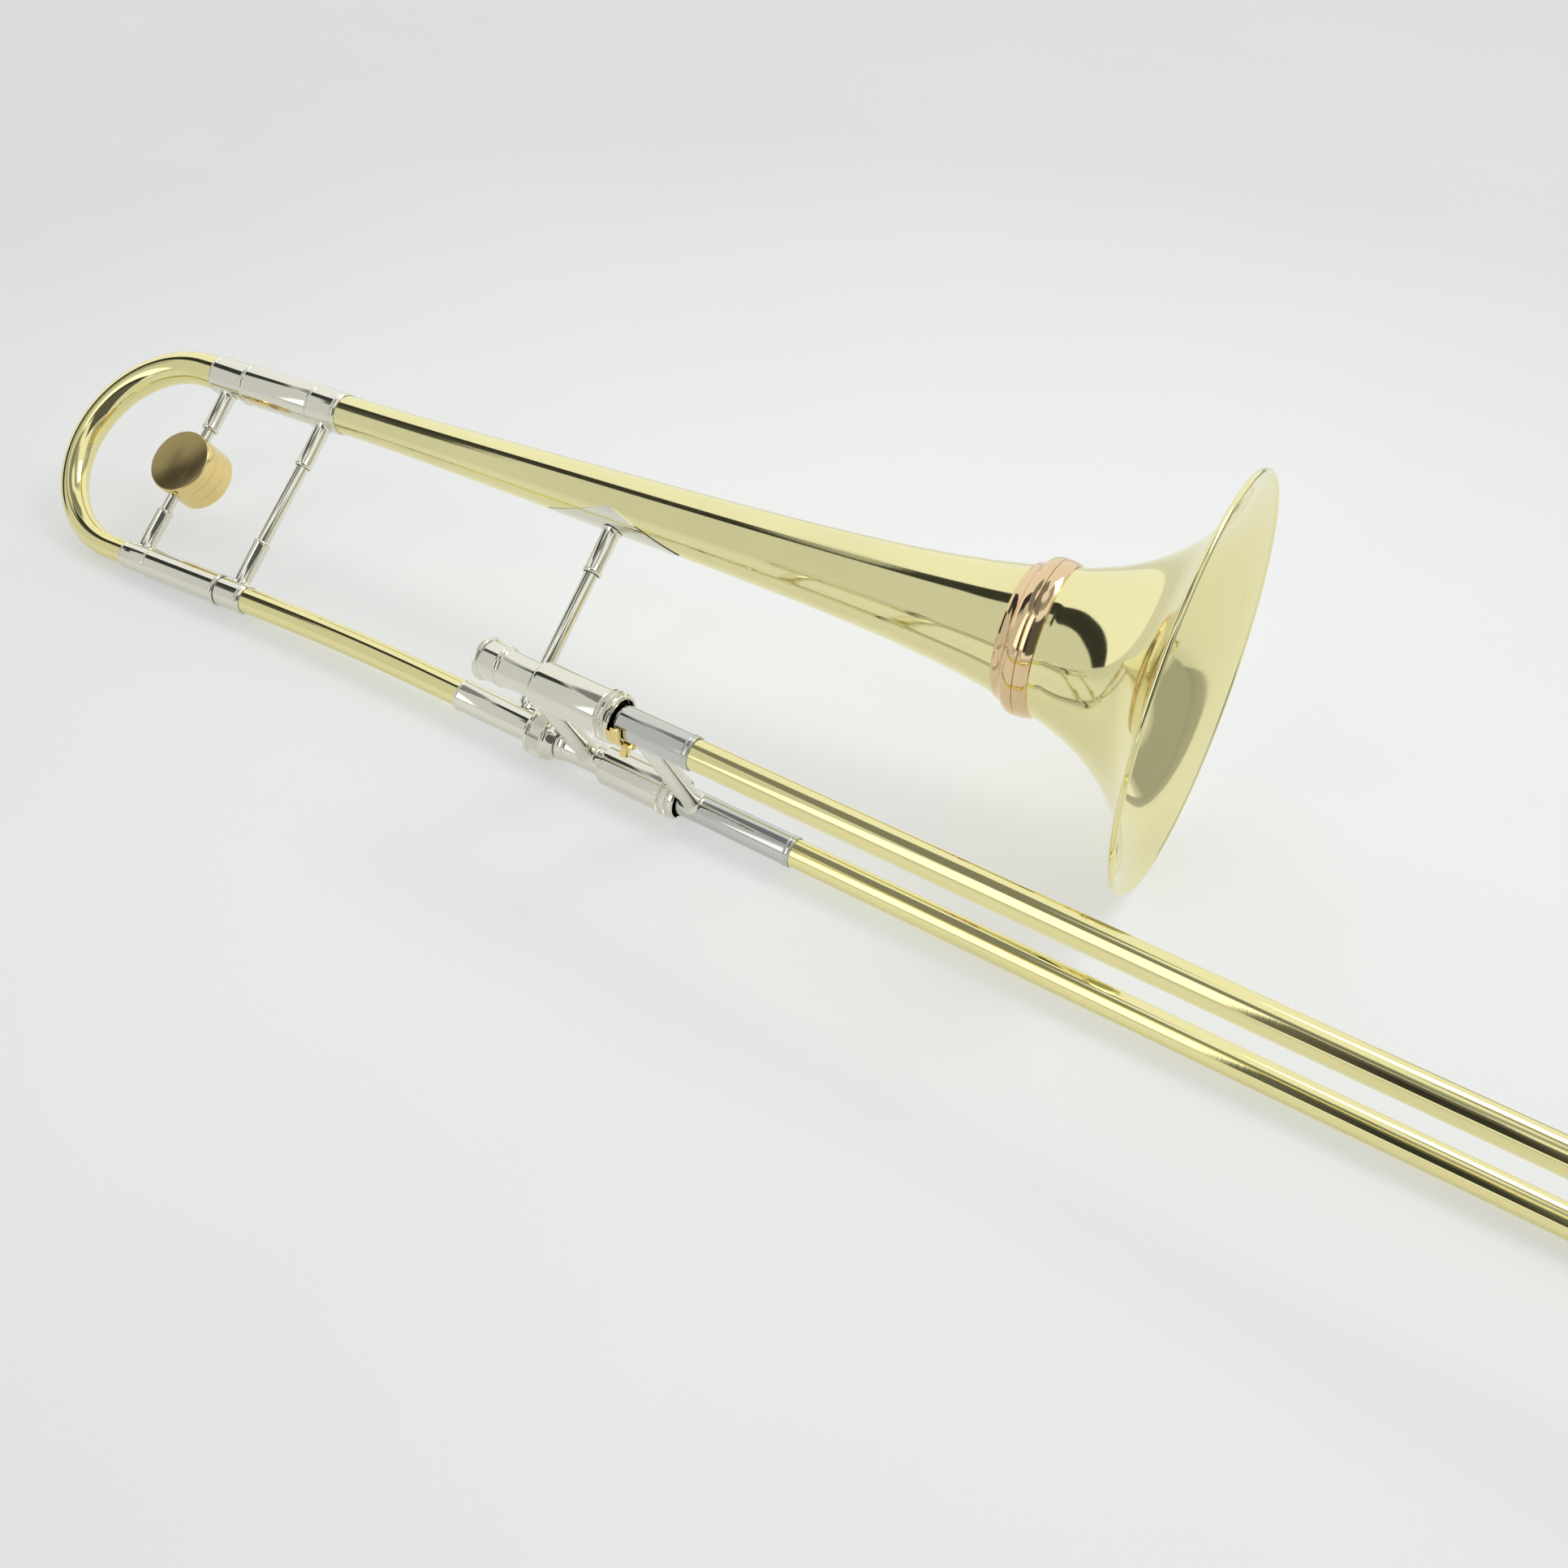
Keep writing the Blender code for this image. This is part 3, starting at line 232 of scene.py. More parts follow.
def softened(points, radius):
    """Profile with each corner cut by a small round, so edges catch the light. A radius of
    0 cuts nothing but leaves three points on each corner, so its faces there have no area."""
    out = []
    last = len(points) - 1
    for i, here in enumerate(points):
        if i in (0, last):
            out.append(here)
            continue
        a, b, c = Vector(points[i - 1]), Vector(here), Vector(points[i + 1])
        one, two = (a - b), (c - b)
        if one.length < 1e-6 or two.length < 1e-6 or one.angle(two) > STRAIGHT:
            out.append(here)
            continue
        reach = min(radius, one.length * 0.42, two.length * 0.42)
        start, end = b + one.normalized() * reach, b + two.normalized() * reach
        for share in (0.0, 0.5, 1.0):
            spot = start * (1 - share) ** 2 + b * (2 * share * (1 - share)) + end * share ** 2
            out.append((spot.x, spot.y))
    return out


def lathe_mesh(profile, sides, closed=True, shape=None):
    """Ring mesh from (station, radius) in millimetres; shape(station, radius, facet)
    may return a changed radius for knurls and milling."""
    bm = bmesh.new()
    rings = []
    for station, radius in profile:
        ring = []
        if radius < 1e-6:
            ring = [bm.verts.new((0, 0, station * MM))] * sides
        else:
            for k in range(sides):
                turn = 2 * math.pi * k / sides
                r = shape(station, radius, k) if shape else radius
                ring.append(bm.verts.new((r * MM * math.cos(turn), r * MM * math.sin(turn),
                                          station * MM)))
        rings.append(ring)
    pairs = list(zip(rings, rings[1:]))
    if closed:
        pairs.append((rings[-1], rings[0]))
    for one, two in pairs:
        for k in range(sides):
            j = (k + 1) % sides
            corners = []
            for vert in (one[k], one[j], two[j], two[k]):
                if vert not in corners:
                    corners.append(vert)
            if len(corners) > 2:
                bm.faces.new(corners)
    return bm


def turned(name, outer, inner, matrix, mat, body, nodes, sides=TUBE_ROUND, soft=0.2,
           shape=None):
    """Turned piece: outer and inner contours in millimetres with rising station. With no
    inner contour it is solid."""
    if inner:
        ring = softened(list(outer) + list(reversed(inner)), soft)
        bm = lathe_mesh(ring, sides, True, shape)
    else:
        whole = [(outer[0][0], 0.0)] + list(outer) + [(outer[-1][0], 0.0)]
        bm = lathe_mesh(softened(whole, soft), sides, False, shape)
    return finish_piece(name, bm, matrix, mat, body, nodes)


def bead(station, radius, width, height, steps=7):
    """Half-round bead on a contour, as rising points."""
    points = []
    for i in range(steps):
        turn = math.pi * i / (steps - 1)
        points.append((station - width / 2 * math.cos(turn), radius + height * math.sin(turn)))
    return points


def smooth_contour(knots, count):
    """Cubic curve through (station, radius) knots, sampled evenly along its length."""
    spots = [Vector(knot) for knot in knots]
    parts = 12
    fine = []
    for i in range(len(spots) - 1):
        p0 = spots[max(i - 1, 0)]
        p1, p2 = spots[i], spots[i + 1]
        p3 = spots[min(i + 2, len(spots) - 1)]
        gap = (p2 - p1).length
        m1 = (p2 - p0) / max((p2 - p0).length, 1e-6) * gap
        m2 = (p3 - p1) / max((p3 - p1).length, 1e-6) * gap
        for step in range(parts):
            t = step / parts
            fine.append(p1 * (2 * t ** 3 - 3 * t ** 2 + 1) + m1 * (t ** 3 - 2 * t ** 2 + t)
                        + p2 * (3 * t ** 2 - 2 * t ** 3) + m2 * (t ** 3 - t ** 2))
    fine.append(spots[-1])
    lengths = [0.0]
    for a, b in zip(fine, fine[1:]):
        lengths.append(lengths[-1] + (b - a).length)
    out = []
    j = 0
    for i in range(count):
        want = lengths[-1] * i / (count - 1)
        while j < len(lengths) - 2 and lengths[j + 1] < want:
            j += 1
        share = (want - lengths[j]) / max(lengths[j + 1] - lengths[j], 1e-9)
        spot = fine[j].lerp(fine[j + 1], min(max(share, 0.0), 1.0))
        out.append((spot.x, spot.y))
    return out


def sheet_inner(outer, wall):
    """Inner contour of a thin turned sheet."""
    inner = []
    last = len(outer) - 1
    for i, (x, r) in enumerate(outer):
        x0, r0 = outer[max(i - 1, 0)]
        x1, r1 = outer[min(i + 1, last)]
        slope = math.atan2(r1 - r0, x1 - x0)
        inner.append((x + wall * math.sin(slope), r - wall * math.cos(slope)))
    return inner


def swept_tube(name, points, radii, wall, matrix, body, nodes, sides):
    """Hollow brass tube along a path, with its ends closed between the two walls."""
    bm = bmesh.new()
    spots = [Vector(p) * MM for p in points]
    count = len(spots)
    tangents = []
    for i in range(count):
        tangents.append((spots[min(i + 1, count - 1)] - spots[max(i - 1, 0)]).normalized())
    side = tangents[0].orthogonal().normalized()
    outer, inner = [], []
    for i in range(count):
        side = (side - tangents[i] * side.dot(tangents[i])).normalized()
        other = tangents[i].cross(side)
        for rings, r in ((outer, radii[i]), (inner, radii[i] - wall)):
            rings.append([bm.verts.new(spots[i] + (side * math.cos(2 * math.pi * k / sides)
                                                   + other * math.sin(2 * math.pi * k / sides))
                                       * r * MM) for k in range(sides)])
    loop = outer + inner[::-1]
    for one, two in zip(loop, loop[1:] + loop[:1]):
        for k in range(sides):
            j = (k + 1) % sides
            bm.faces.new((one[k], one[j], two[j], two[k]))
    return finish_piece(name, bm, matrix, BRASS, body, nodes)


def saddle_socket(name, tip, radius, bore, hug, x, base, body, nodes):
    """Brace sleeve along the bell frame's Y at station x. Its foot is shaped to the tube of
    radius hug whose axis lies at height base; tip is its far end, which ends in a bead."""
    sides = TUBE_ROUND
    sign = 1.0 if tip > base else -1.0
    length = abs(tip - base) - hug
    bead_start, bead_height, edge = length - 2.3, 0.42, 0.25
    blend_length = 8.0                # height at which the foot's saddle shape has faded out
    profile = [(0.0, radius + 1.0), (0.35, radius + 0.45), (1.0, radius + 0.08), (1.8, radius),
               (bead_start, radius)]
    profile += [(bead_start + i * 0.28, radius + bead_height * math.sin(math.pi * i / 7))
                for i in range(1, 7)]
    profile += [(length - edge, radius), (length, radius - edge)]
    bm = bmesh.new()
    rings = []
    for height, r in profile:
        ring = []
        for k in range(sides):
            turn = 2 * math.pi * k / sides
            along, across = r * math.cos(turn), r * math.sin(turn)
            surface = math.sqrt(max(hug * hug - across * across, 0.01))
            fade = max(0.0, 1.0 - height / blend_length)
            lift = surface * fade + hug * (1 - fade) + height
            ring.append(bm.verts.new(((x + along) * MM, (base + sign * lift) * MM,
                                      across * MM)))
        rings.append(ring)
    for height in (length - 3.0, 2.0):    # the bore that the rod enters
        ring = []
        for k in range(sides):
            turn = 2 * math.pi * k / sides
            ring.append(bm.verts.new(((x + bore * math.cos(turn)) * MM,
                                      (base + sign * (hug + height)) * MM,
                                      bore * math.sin(turn) * MM)))
        rings.append(ring)
    for one, two in zip(rings, rings[1:] + rings[:1]):
        for k in range(sides):
            j = (k + 1) % sides
            bm.faces.new((one[k], one[j], two[j], two[k]))
    return finish_piece(name, bm, BELL, NICKEL, body, nodes)


def plate(name, outline, low, high, matrix, mat, body, nodes, bevel):
    """Bevelled plate or post cut to an outline in the local XY plane, millimetres."""
    bm = bmesh.new()
    floor_ring = [bm.verts.new((x * MM, y * MM, low * MM)) for x, y in outline]
    bm.faces.new(floor_ring)
    made = bmesh.ops.extrude_face_region(bm, geom=list(bm.faces))
    for vert in [g for g in made["geom"] if isinstance(g, bmesh.types.BMVert)]:
        vert.co.z = high * MM
    bmesh.ops.bevel(bm, geom=list(bm.edges), offset=bevel * MM, segments=2, profile=0.6,
                    affect="EDGES")
    return finish_piece(name, bm, matrix, mat, body, nodes, 28.0)


# ================================================================ bell stem
STEM = [(-92.0, 11.0), (-40.0, 11.5), (20.0, 13.0), (80.0, 14.9), (140.0, 16.7),
        (200.0, 18.8), (250.0, 21.3), (290.0, 24.3), (325.0, 28.6), (349.5, 33.0)]
FLARE = [(366.6, 36.9), (372.0, 38.2), (388.0, 44.2), (402.0, 52.0), (413.0, 60.8),
         (422.0, 71.0), (428.5, 82.0), (432.5, 91.5), (434.5, 99.0)]
stem_outer = smooth_contour(STEM, 90)
turned("bell_stem_sheet", stem_outer, sheet_inner(stem_outer, SHEET), BELL_AXIS, BELL_BRASS,
       "bell_section", ["bell_stem"], ROUND, 0.0)

# ---- rolled flare with its rim wire
flare_outer = [(360.4, 35.2)] + smooth_contour(FLARE, 70)
turned("bell_flare_sheet", flare_outer, sheet_inner(flare_outer, SHEET), BELL_AXIS,
       BELL_BRASS, "bell_flare", ["bell_flare"], FLARE_ROUND, 0.0)
RIM_STATION, RIM_RADIUS, RIM_WIRE, RIM_STEPS = 434.4, 100.1, 1.5, 20
rim = []
for step in range(RIM_STEPS):
    turn = 2 * math.pi * step / RIM_STEPS
    rim.append((RIM_STATION + RIM_WIRE * math.cos(turn), RIM_RADIUS + RIM_WIRE * math.sin(turn)))
finish_piece("bell_rim_roll", lathe_mesh(rim, FLARE_ROUND), BELL_AXIS, BELL_BRASS,
             "bell_flare", ["rim_wire"])

# ---- two-part screw ring
back_ring = [(346.6, 32.9), (347.2, 33.6), (348.2, 34.15), (349.6, 34.45), (350.8, 34.8),
             (351.6, 35.2), (352.3, 36.2), (353.2, 37.4), (354.4, 38.3), (355.9, 38.9),
             (357.6, 39.15), (359.3, 39.1), (359.75, 39.0), (359.95, 38.7)]
turned("screw_ring_back", back_ring,
       [(346.6, 32.5), (351.2, 33.2), (359.95, 34.6)], BELL_AXIS, ROSE, "bell_section",
       ["bell_stem_ring"], ROUND, 0.0)
front_ring = [(360.05, 38.7), (360.25, 38.95), (361.4, 39.0), (363.0, 38.8), (364.6, 38.45),
              (365.9, 38.0), (366.6, 37.6), (366.9, 37.2)]
turned("screw_ring_front", front_ring, [(360.05, 35.6), (366.9, 36.9)], BELL_AXIS, ROSE,
       "bell_flare", ["bell_flare_ring"], ROUND, 0.0)

# ================================================================ bell side sleeves
turned("bell_sleeve",
       bead(-144.9, 11.85, 2.2, 0.65) + [(-143.4, 11.8), (-94.8, 11.8)],
       [(-146.0, 10.75), (-94.8, 10.75)], BELL_AXIS, NICKEL, "bell_section",
       ["bell_tuning_sleeve"])
turned("bell_ferrule",
       bead(-93.4, 12.15, 1.6, 0.4) + [(-92.2, 12.1), (-76.6, 12.1)]
       + bead(-75.6, 12.1, 1.1, 0.3, 5) + bead(-74.0, 12.05, 1.3, 0.3, 5)
       + [(-73.0, 11.7), (-72.8, 11.45)],
       [(-94.2, 11.5), (-76.0, 11.5), (-72.8, 11.25)], BELL_AXIS, NICKEL, "bell_section",
       ["bell_brace_ferrule"])
turned("crook_bell_ferrule",
       [(-170.8, 10.9), (-170.5, 11.1)] + bead(-169.8, 11.1, 0.9, 0.25, 5)
       + [(-169.0, 11.1), (-147.4, 11.1), (-146.4, 11.2)],
       [(-170.8, 10.6), (-146.4, 10.6)], BELL_AXIS, NICKEL, "tuning_slide",
       ["tuning_bell_ferrule"])
turned("tuning_inner_leg_tube", [(-160.0, 10.25), (-99.0, 10.25)],
       [(-160.0, 9.65), (-99.0, 9.65)], BELL_AXIS, NICKEL, "tuning_slide",
       ["tuning_inner_leg"])

# ================================================================ neckpipe leg
turned("leg_ferrule",
       [(-168.0, 7.9), (-167.8, 8.1)] + bead(-167.0, 8.1, 0.9, 0.22, 5)
       + [(-166.2, 8.1), (-148.6, 8.1)],
       [(-168.0, 7.3), (-148.6, 7.3)], LEG_AXIS, NICKEL, "tuning_slide",
       ["tuning_leg_ferrule"])
turned("leg_sleeve",
       [(-148.3, 8.2)] + bead(-147.6, 8.85, 0.8, 0.15, 5) + [(-146.8, 8.9), (-95.4, 8.9)]
       + bead(-94.2, 8.95, 2.2, 0.7) + [(-92.9, 8.8)],
       [(-148.3, 7.4), (-145.0, 7.4), (-144.6, 8.1), (-92.9, 8.1)], LEG_AXIS, NICKEL,
       "tuning_slide", ["tuning_outer_sleeve"])
turned("neck_leg_tube", [(-143.0, 7.8), (-77.0, 7.8)], [(-143.0, 7.2), (-77.0, 7.2)],
       LEG_AXIS, NICKEL, "bell_section", ["neckpipe_inner_leg"])
turned("neck_ferrule",
       [(-91.8, 8.55), (-77.2, 8.55)] + bead(-76.4, 8.55, 1.0, 0.3, 5)
       + bead(-74.9, 8.55, 1.2, 0.35, 5) + [(-73.8, 8.1), (-73.5, 7.75)],
       [(-91.8, 8.1), (-76.4, 8.1), (-76.0, 7.55), (-73.5, 7.5)], LEG_AXIS, NICKEL,
       "bell_section", ["neckpipe_ferrule"])

NECK_BLEND = 62.0                 # half length of the curve between leg and receiver
NECK_RADIUS = 7.4
NECK_START, NECK_LENGTH = -76.0, 99.0
NECK_STEPS = 24
bend_cos, bend_sin = math.cos(NECK_BEND), math.sin(NECK_BEND)
neck = [(NECK_START, 0.0, 0.0)]
for step in range(NECK_STEPS + 1):
    share = step / NECK_STEPS
    x = -NECK_BLEND * (1 - share) ** 2 + bend_cos * NECK_BLEND * share ** 2
    neck.append((x, -bend_sin * NECK_BLEND * share ** 2, 0.0))
neck.append((bend_cos * NECK_LENGTH, -bend_sin * NECK_LENGTH, 0.0))
swept_tube("neckpipe_tube", neck, [NECK_RADIUS] * len(neck), SHEET, BELL, "bell_section",
           ["neckpipe"], PIPE_ROUND)
turned("receiver_sleeve",
       bead(41.3, 8.55, 1.4, 0.35) + [(42.2, 8.5), (88.2, 8.5), (89.0, 9.2), (102.5, 9.2)],
       [(40.6, 7.7), (57.5, 7.7), (58.0, 6.9), (102.5, 7.8)], LOWER_AXIS, NICKEL,
       "bell_section", ["receiver_ferrule"])

# ================================================================ tuning crook
CROOK_ENDS, CROOK_CENTRE = (-161.0, -170.0), -181.5
CROOK_LEG_RADIUS, CROOK_BELL_RADIUS = 6.75, 10.2
CROOK_STEPS = 64
crook = [(x, 0.0, 0.0) for x in CROOK_ENDS]
for step in range(CROOK_STEPS + 1):
    turn = math.pi * step / CROOK_STEPS
    crook.append((CROOK_CENTRE - math.sin(turn) * LEG_SPACING / 2,
                  (1 - math.cos(turn)) * LEG_SPACING / 2, 0.0))
crook += [(x, LEG_SPACING, 0.0) for x in reversed(CROOK_ENDS)]
travel = [0.0]
for one, two in zip(crook, crook[1:]):
    travel.append(travel[-1] + (Vector(two) - Vector(one)).length)
radii = [CROOK_LEG_RADIUS + (CROOK_BELL_RADIUS - CROOK_LEG_RADIUS) * t / travel[-1]
         for t in travel]
swept_tube("crook_tube", crook, radii, SHEET, BELL, "tuning_slide", ["tuning_crook"],
           BEND_ROUND)

# ================================================================ braces
TUNING_BRACE, REAR_BRACE, FRONT_BRACE = -158.8, -83.6, 120.8


def brace_rod(name, x, low, high, radius, body, node):
    """Thin rod of a brace with softened ends."""
    turned(name, [(low, radius), (high, radius)], [], at(BELL, x) @ TO_Y, NICKEL, body, [node])


saddle_socket("rear_leg_socket", 34.6, 4.6, 3.7, 8.6, REAR_BRACE, 0.0, "bell_section",
              ["rear_brace_leg_socket"])
saddle_socket("rear_bell_socket", LEG_SPACING - 38.2, 4.6, 3.7, 12.15, REAR_BRACE,
              LEG_SPACING, "bell_section", ["rear_brace_bell_socket"])
brace_rod("rear_rod", REAR_BRACE, 12.0, LEG_SPACING - 15.5, 3.6, "bell_section",
          "rear_brace_rod")
saddle_socket("tuning_leg_socket", 32.1, 4.6, 3.4, 8.15, TUNING_BRACE, 0.0, "tuning_slide",
              ["tuning_brace_leg_socket"])
saddle_socket("tuning_bell_socket", LEG_SPACING - 35.2, 4.6, 3.4, 11.15, TUNING_BRACE,
              LEG_SPACING, "tuning_slide", ["tuning_brace_bell_socket"])
brace_rod("tuning_rod", TUNING_BRACE, 11.5, LEG_SPACING - 14.5, 3.3, "tuning_slide",
          "tuning_brace_rod")

STEM_AT_BRACE = 16.15             # stem radius under the front brace
saddle_socket("front_bell_socket", LEG_SPACING - STEM_AT_BRACE - 26.0, 5.0, 4.1,
              STEM_AT_BRACE + 0.95, FRONT_BRACE, LEG_SPACING, "bell_section",
              ["front_brace_bell_socket"])
FOOT = -FRONT_BRACE * math.tan(NECK_BEND)
saddle_socket("front_foot_socket", FOOT + 20.0, 4.6, 4.0, 8.6, FRONT_BRACE, FOOT,
              "bell_section", ["front_brace_foot"])
brace_rod("front_rod", FRONT_BRACE, FOOT + 11.0, LEG_SPACING - STEM_AT_BRACE - 3.5, 3.85,
          "bell_section", "front_brace_rod")


def stem_radius(station):
    """Outer radius of the bell stem at a station."""
    for (x0, r0), (x1, r1) in zip(stem_outer, stem_outer[1:]):
        if x0 <= station <= x1:
            return r0 + (r1 - r0) * (station - x0) / (x1 - x0)
    return stem_outer[-1][1]


def diamond_flange():
    """Diamond plate of the front brace, wrapped round the stem."""
    half_long, half_wide = 42.5, math.radians(61.0)
    gap, thick = 0.04, 0.4
    long_steps, wide_steps = 60, 24
    bm = bmesh.new()
    grids = []
    for lift in (gap, gap + thick):
        grid = []
        for i in range(long_steps + 1):
            u = -1 + 2 * i / long_steps
            row = []
            x = FRONT_BRACE + u * half_long
            spread = half_wide * (1 - abs(u)) ** 0.92
            for j in range(wide_steps + 1):
                v = -1 + 2 * j / wide_steps
                turn = -math.pi / 2 + v * spread
                r = stem_radius(x) + lift
                row.append(bm.verts.new((x * MM, (LEG_SPACING + r * math.sin(turn)) * MM,
                                         r * math.cos(turn) * MM)))
            grid.append(row)
        grids.append(grid)
    for grid, flip in zip(grids, (True, False)):
        for i in range(long_steps):
            for j in range(wide_steps):
                quad = [grid[i][j], grid[i + 1][j], grid[i + 1][j + 1], grid[i][j + 1]]
                bm.faces.new(quad[::-1] if flip else quad)
    rim_low, rim_high = [
        ([grid[i][0] for i in range(long_steps + 1)]
         + [grid[long_steps][j] for j in range(1, wide_steps + 1)]
         + [grid[i][wide_steps] for i in range(long_steps - 1, -1, -1)]
         + [grid[0][j] for j in range(wide_steps - 1, 0, -1)]) for grid in grids]
    count = len(rim_low)
    for i in range(count):
        j = (i + 1) % count
        bm.faces.new((rim_low[i], rim_low[j], rim_high[j], rim_high[i]))
    bmesh.ops.remove_doubles(bm, verts=bm.verts, dist=0.00002)
    return finish_piece("diamond_flange", bm, BELL, NICKEL, "bell_section",
                        ["front_brace_flange"])


diamond_flange()

# ================================================================ counterweight
WEIGHT_AXIS = at(BELL, TUNING_BRACE, LEG_SPACING / 2)
WEIGHT_RADIUS = 19.5
discs = ((1.62, 9.4, "front"), (-6.2, 1.58, "middle"), (-14.0, -6.24, "back"))
for low, high, label in discs:
    rim_top = 0.9 if label == "front" else 0.16
    outer = [(low, WEIGHT_RADIUS - 0.1), (low + 0.1, WEIGHT_RADIUS),
             (high - rim_top, WEIGHT_RADIUS),
             (high - rim_top * 0.5, WEIGHT_RADIUS - rim_top * 0.15),
             (high - rim_top * 0.2, WEIGHT_RADIUS - rim_top * 0.5),
             (high, WEIGHT_RADIUS - rim_top)]
    if label == "front":
        face = [(high, 18.5), (high - 0.12, 18.2), (high - 0.12, 0.0)]
        bm = lathe_mesh([(low, 0.0)] + outer + face, ROUND, False)
        disc = finish_piece("weight_" + label, bm, WEIGHT_AXIS, GOLD, "tuning_slide",
                            ["counterweight_" + label])
        disc.data.materials.append(GOLD_FACE)
        up = WEIGHT_AXIS.to_3x3() @ Vector((0, 0, 1))
        for poly in disc.data.polygons:
            if poly.normal.dot(up) > 0.9:
                poly.material_index = 1
    else:
        turned("weight_" + label, outer, [], WEIGHT_AXIS, GOLD, "tuning_slide",
               ["counterweight_" + label], ROUND, 0.0)

# ================================================================ inner hand slide
turned("slide_joint",
       [(60.0, 6.5), (102.9, 7.3), (103.1, 9.1), (104.6, 9.1), (104.8, 8.0), (106.9, 8.0),
        (107.5, 8.8)] + bead(108.9, 8.9, 1.2, 0.35) + [(109.9, 8.7), (111.5, 8.6)]
       + bead(112.3, 8.4, 0.9, 0.3) + [(113.3, 8.0), (134.0, 8.0), (134.7, 8.1)],
       [(60.0, 5.6), (126.0, 5.6), (126.4, 6.4), (134.7, 6.4)], LOWER_AXIS, NICKEL,
       "inner_slide", ["slide_tenon"])


def knurl(low, high, depth, facets):
    """Straight knurl: V grooves between two stations, each as wide as some facets."""
    def shape(station, radius, k):
        if low <= station <= high:
            return radius - depth * abs(2.0 * (k % facets) / facets - 1.0)
        return radius
    return shape


RECEIVER_SIDES = 240
receiver = ([(103.6, 9.8), (103.8, 10.25), (104.1, 10.45), (104.4, 10.5), (104.7, 10.5),
             (105.0, 10.5), (105.3, 10.5), (105.6, 10.45), (105.9, 10.2), (106.1, 9.6),
             (106.3, 9.3), (114.4, 9.15)]
            + bead(115.1, 9.15, 1.1, 0.45) + [(115.9, 9.05)] + bead(116.7, 9.05, 1.1, 0.45)
            + [(117.5, 8.85), (124.0, 8.6), (134.2, 8.5), (135.0, 8.5)])
turned("receiver_body", receiver,
       [(103.6, 6.8), (104.0, 6.5), (126.0, 5.75), (126.4, 6.4), (135.0, 6.4)], UPPER_AXIS,
       NICKEL, "inner_slide", ["mouthpiece_receiver"],
       RECEIVER_SIDES, 0.0, knurl(104.35, 105.35, 0.2, 3))
turned("upper_barrel",
       [(135.4, 8.7), (135.7, 9.3), (136.3, 10.1), (137.2, 10.7), (138.4, 10.85),
        (172.6, 10.85), (173.0, 10.6), (173.1, 9.9), (178.6, 9.9)],
       [(135.4, 6.5), (137.8, 6.5), (138.0, 9.3), (178.6, 9.3)], UPPER_AXIS, NICKEL,
       "inner_slide", ["upper_cork_barrel"], ROUND, 0.1)


MILL_TEETH = 96
MILL_SIDES = MILL_TEETH * 5
MILL_HALF = 0.9                   # half width of a milled band
MILL_DEPTH = 0.5


def milling(rows, depth):
    """Beaded milling: round flutes across the top of the bands at given stations."""
    def shape(station, radius, k):
        for centre in rows:
            off = abs(station - centre)
            if off < MILL_HALF:
                fade = 1.0 - (off / MILL_HALF) ** 2
                wave = 0.5 - 0.5 * math.cos(2 * math.pi * k * MILL_TEETH / MILL_SIDES)
                return radius - depth * wave * fade
        return radius
    return shape


def milled_ring(start, base, rise):
    """Ring contour with a flat rounded top wide enough for a milled row."""
    return [(start, base), (start + 0.25, base + rise * 0.7), (start + 0.6, base + rise),
            (start + 0.9, base + rise * 1.02), (start + 1.2, base + rise * 1.03),
            (start + 1.5, base + rise * 1.02), (start + 1.8, base + rise),
            (start + 2.15, base + rise * 0.7), (start + 2.4, base)]


turned("lower_barrel",
       [(135.0, 8.3), (135.3, 9.0), (135.9, 9.9), (136.8, 10.6), (138.0, 10.8),
        (172.0, 10.8)] + milled_ring(172.3, 10.8, 0.6)
       + [(175.0, 10.85), (176.6, 10.85)] + milled_ring(176.9, 10.85, 0.6)
       + [(179.7, 10.95), (181.2, 10.9), (181.8, 10.5), (182.0, 10.1)],
       [(135.0, 6.5), (137.4, 6.5), (137.6, 9.4), (181.6, 9.4), (182.0, 9.6)], LOWER_AXIS,
       NICKEL, "inner_slide", ["lower_cork_barrel"], MILL_SIDES, 0.0,
       milling((173.5, 178.1), MILL_DEPTH))

INNER_START, INNER_END = 127.0, 797.0
STOCKING_START = 704.0
CORK_END, CORK_RADIUS, CORK_BORE = 161.8, 9.0, 6.4
for side, axis, cork_at in (("upper", UPPER_AXIS, 138.6), ("lower", LOWER_AXIS, 138.2)):
    turned(side + "_slide_inner",
           [(INNER_START, INNER_TUBE), (STOCKING_START - 2.0, INNER_TUBE),
            (STOCKING_START, STOCKING), (INNER_END - 0.6, STOCKING),
            (INNER_END, STOCKING - 0.2)],
           [(INNER_START, INNER_BORE), (INNER_END, INNER_BORE)], axis, CHROME, "inner_slide",
           [side + "_inner_tube"])
    turned(side + "_cork", [(cork_at, CORK_RADIUS), (CORK_END, CORK_RADIUS)],
           [(cork_at, CORK_BORE), (CORK_END, CORK_BORE)], axis, CORK, "inner_slide",
           [side + "_barrel_cork"])

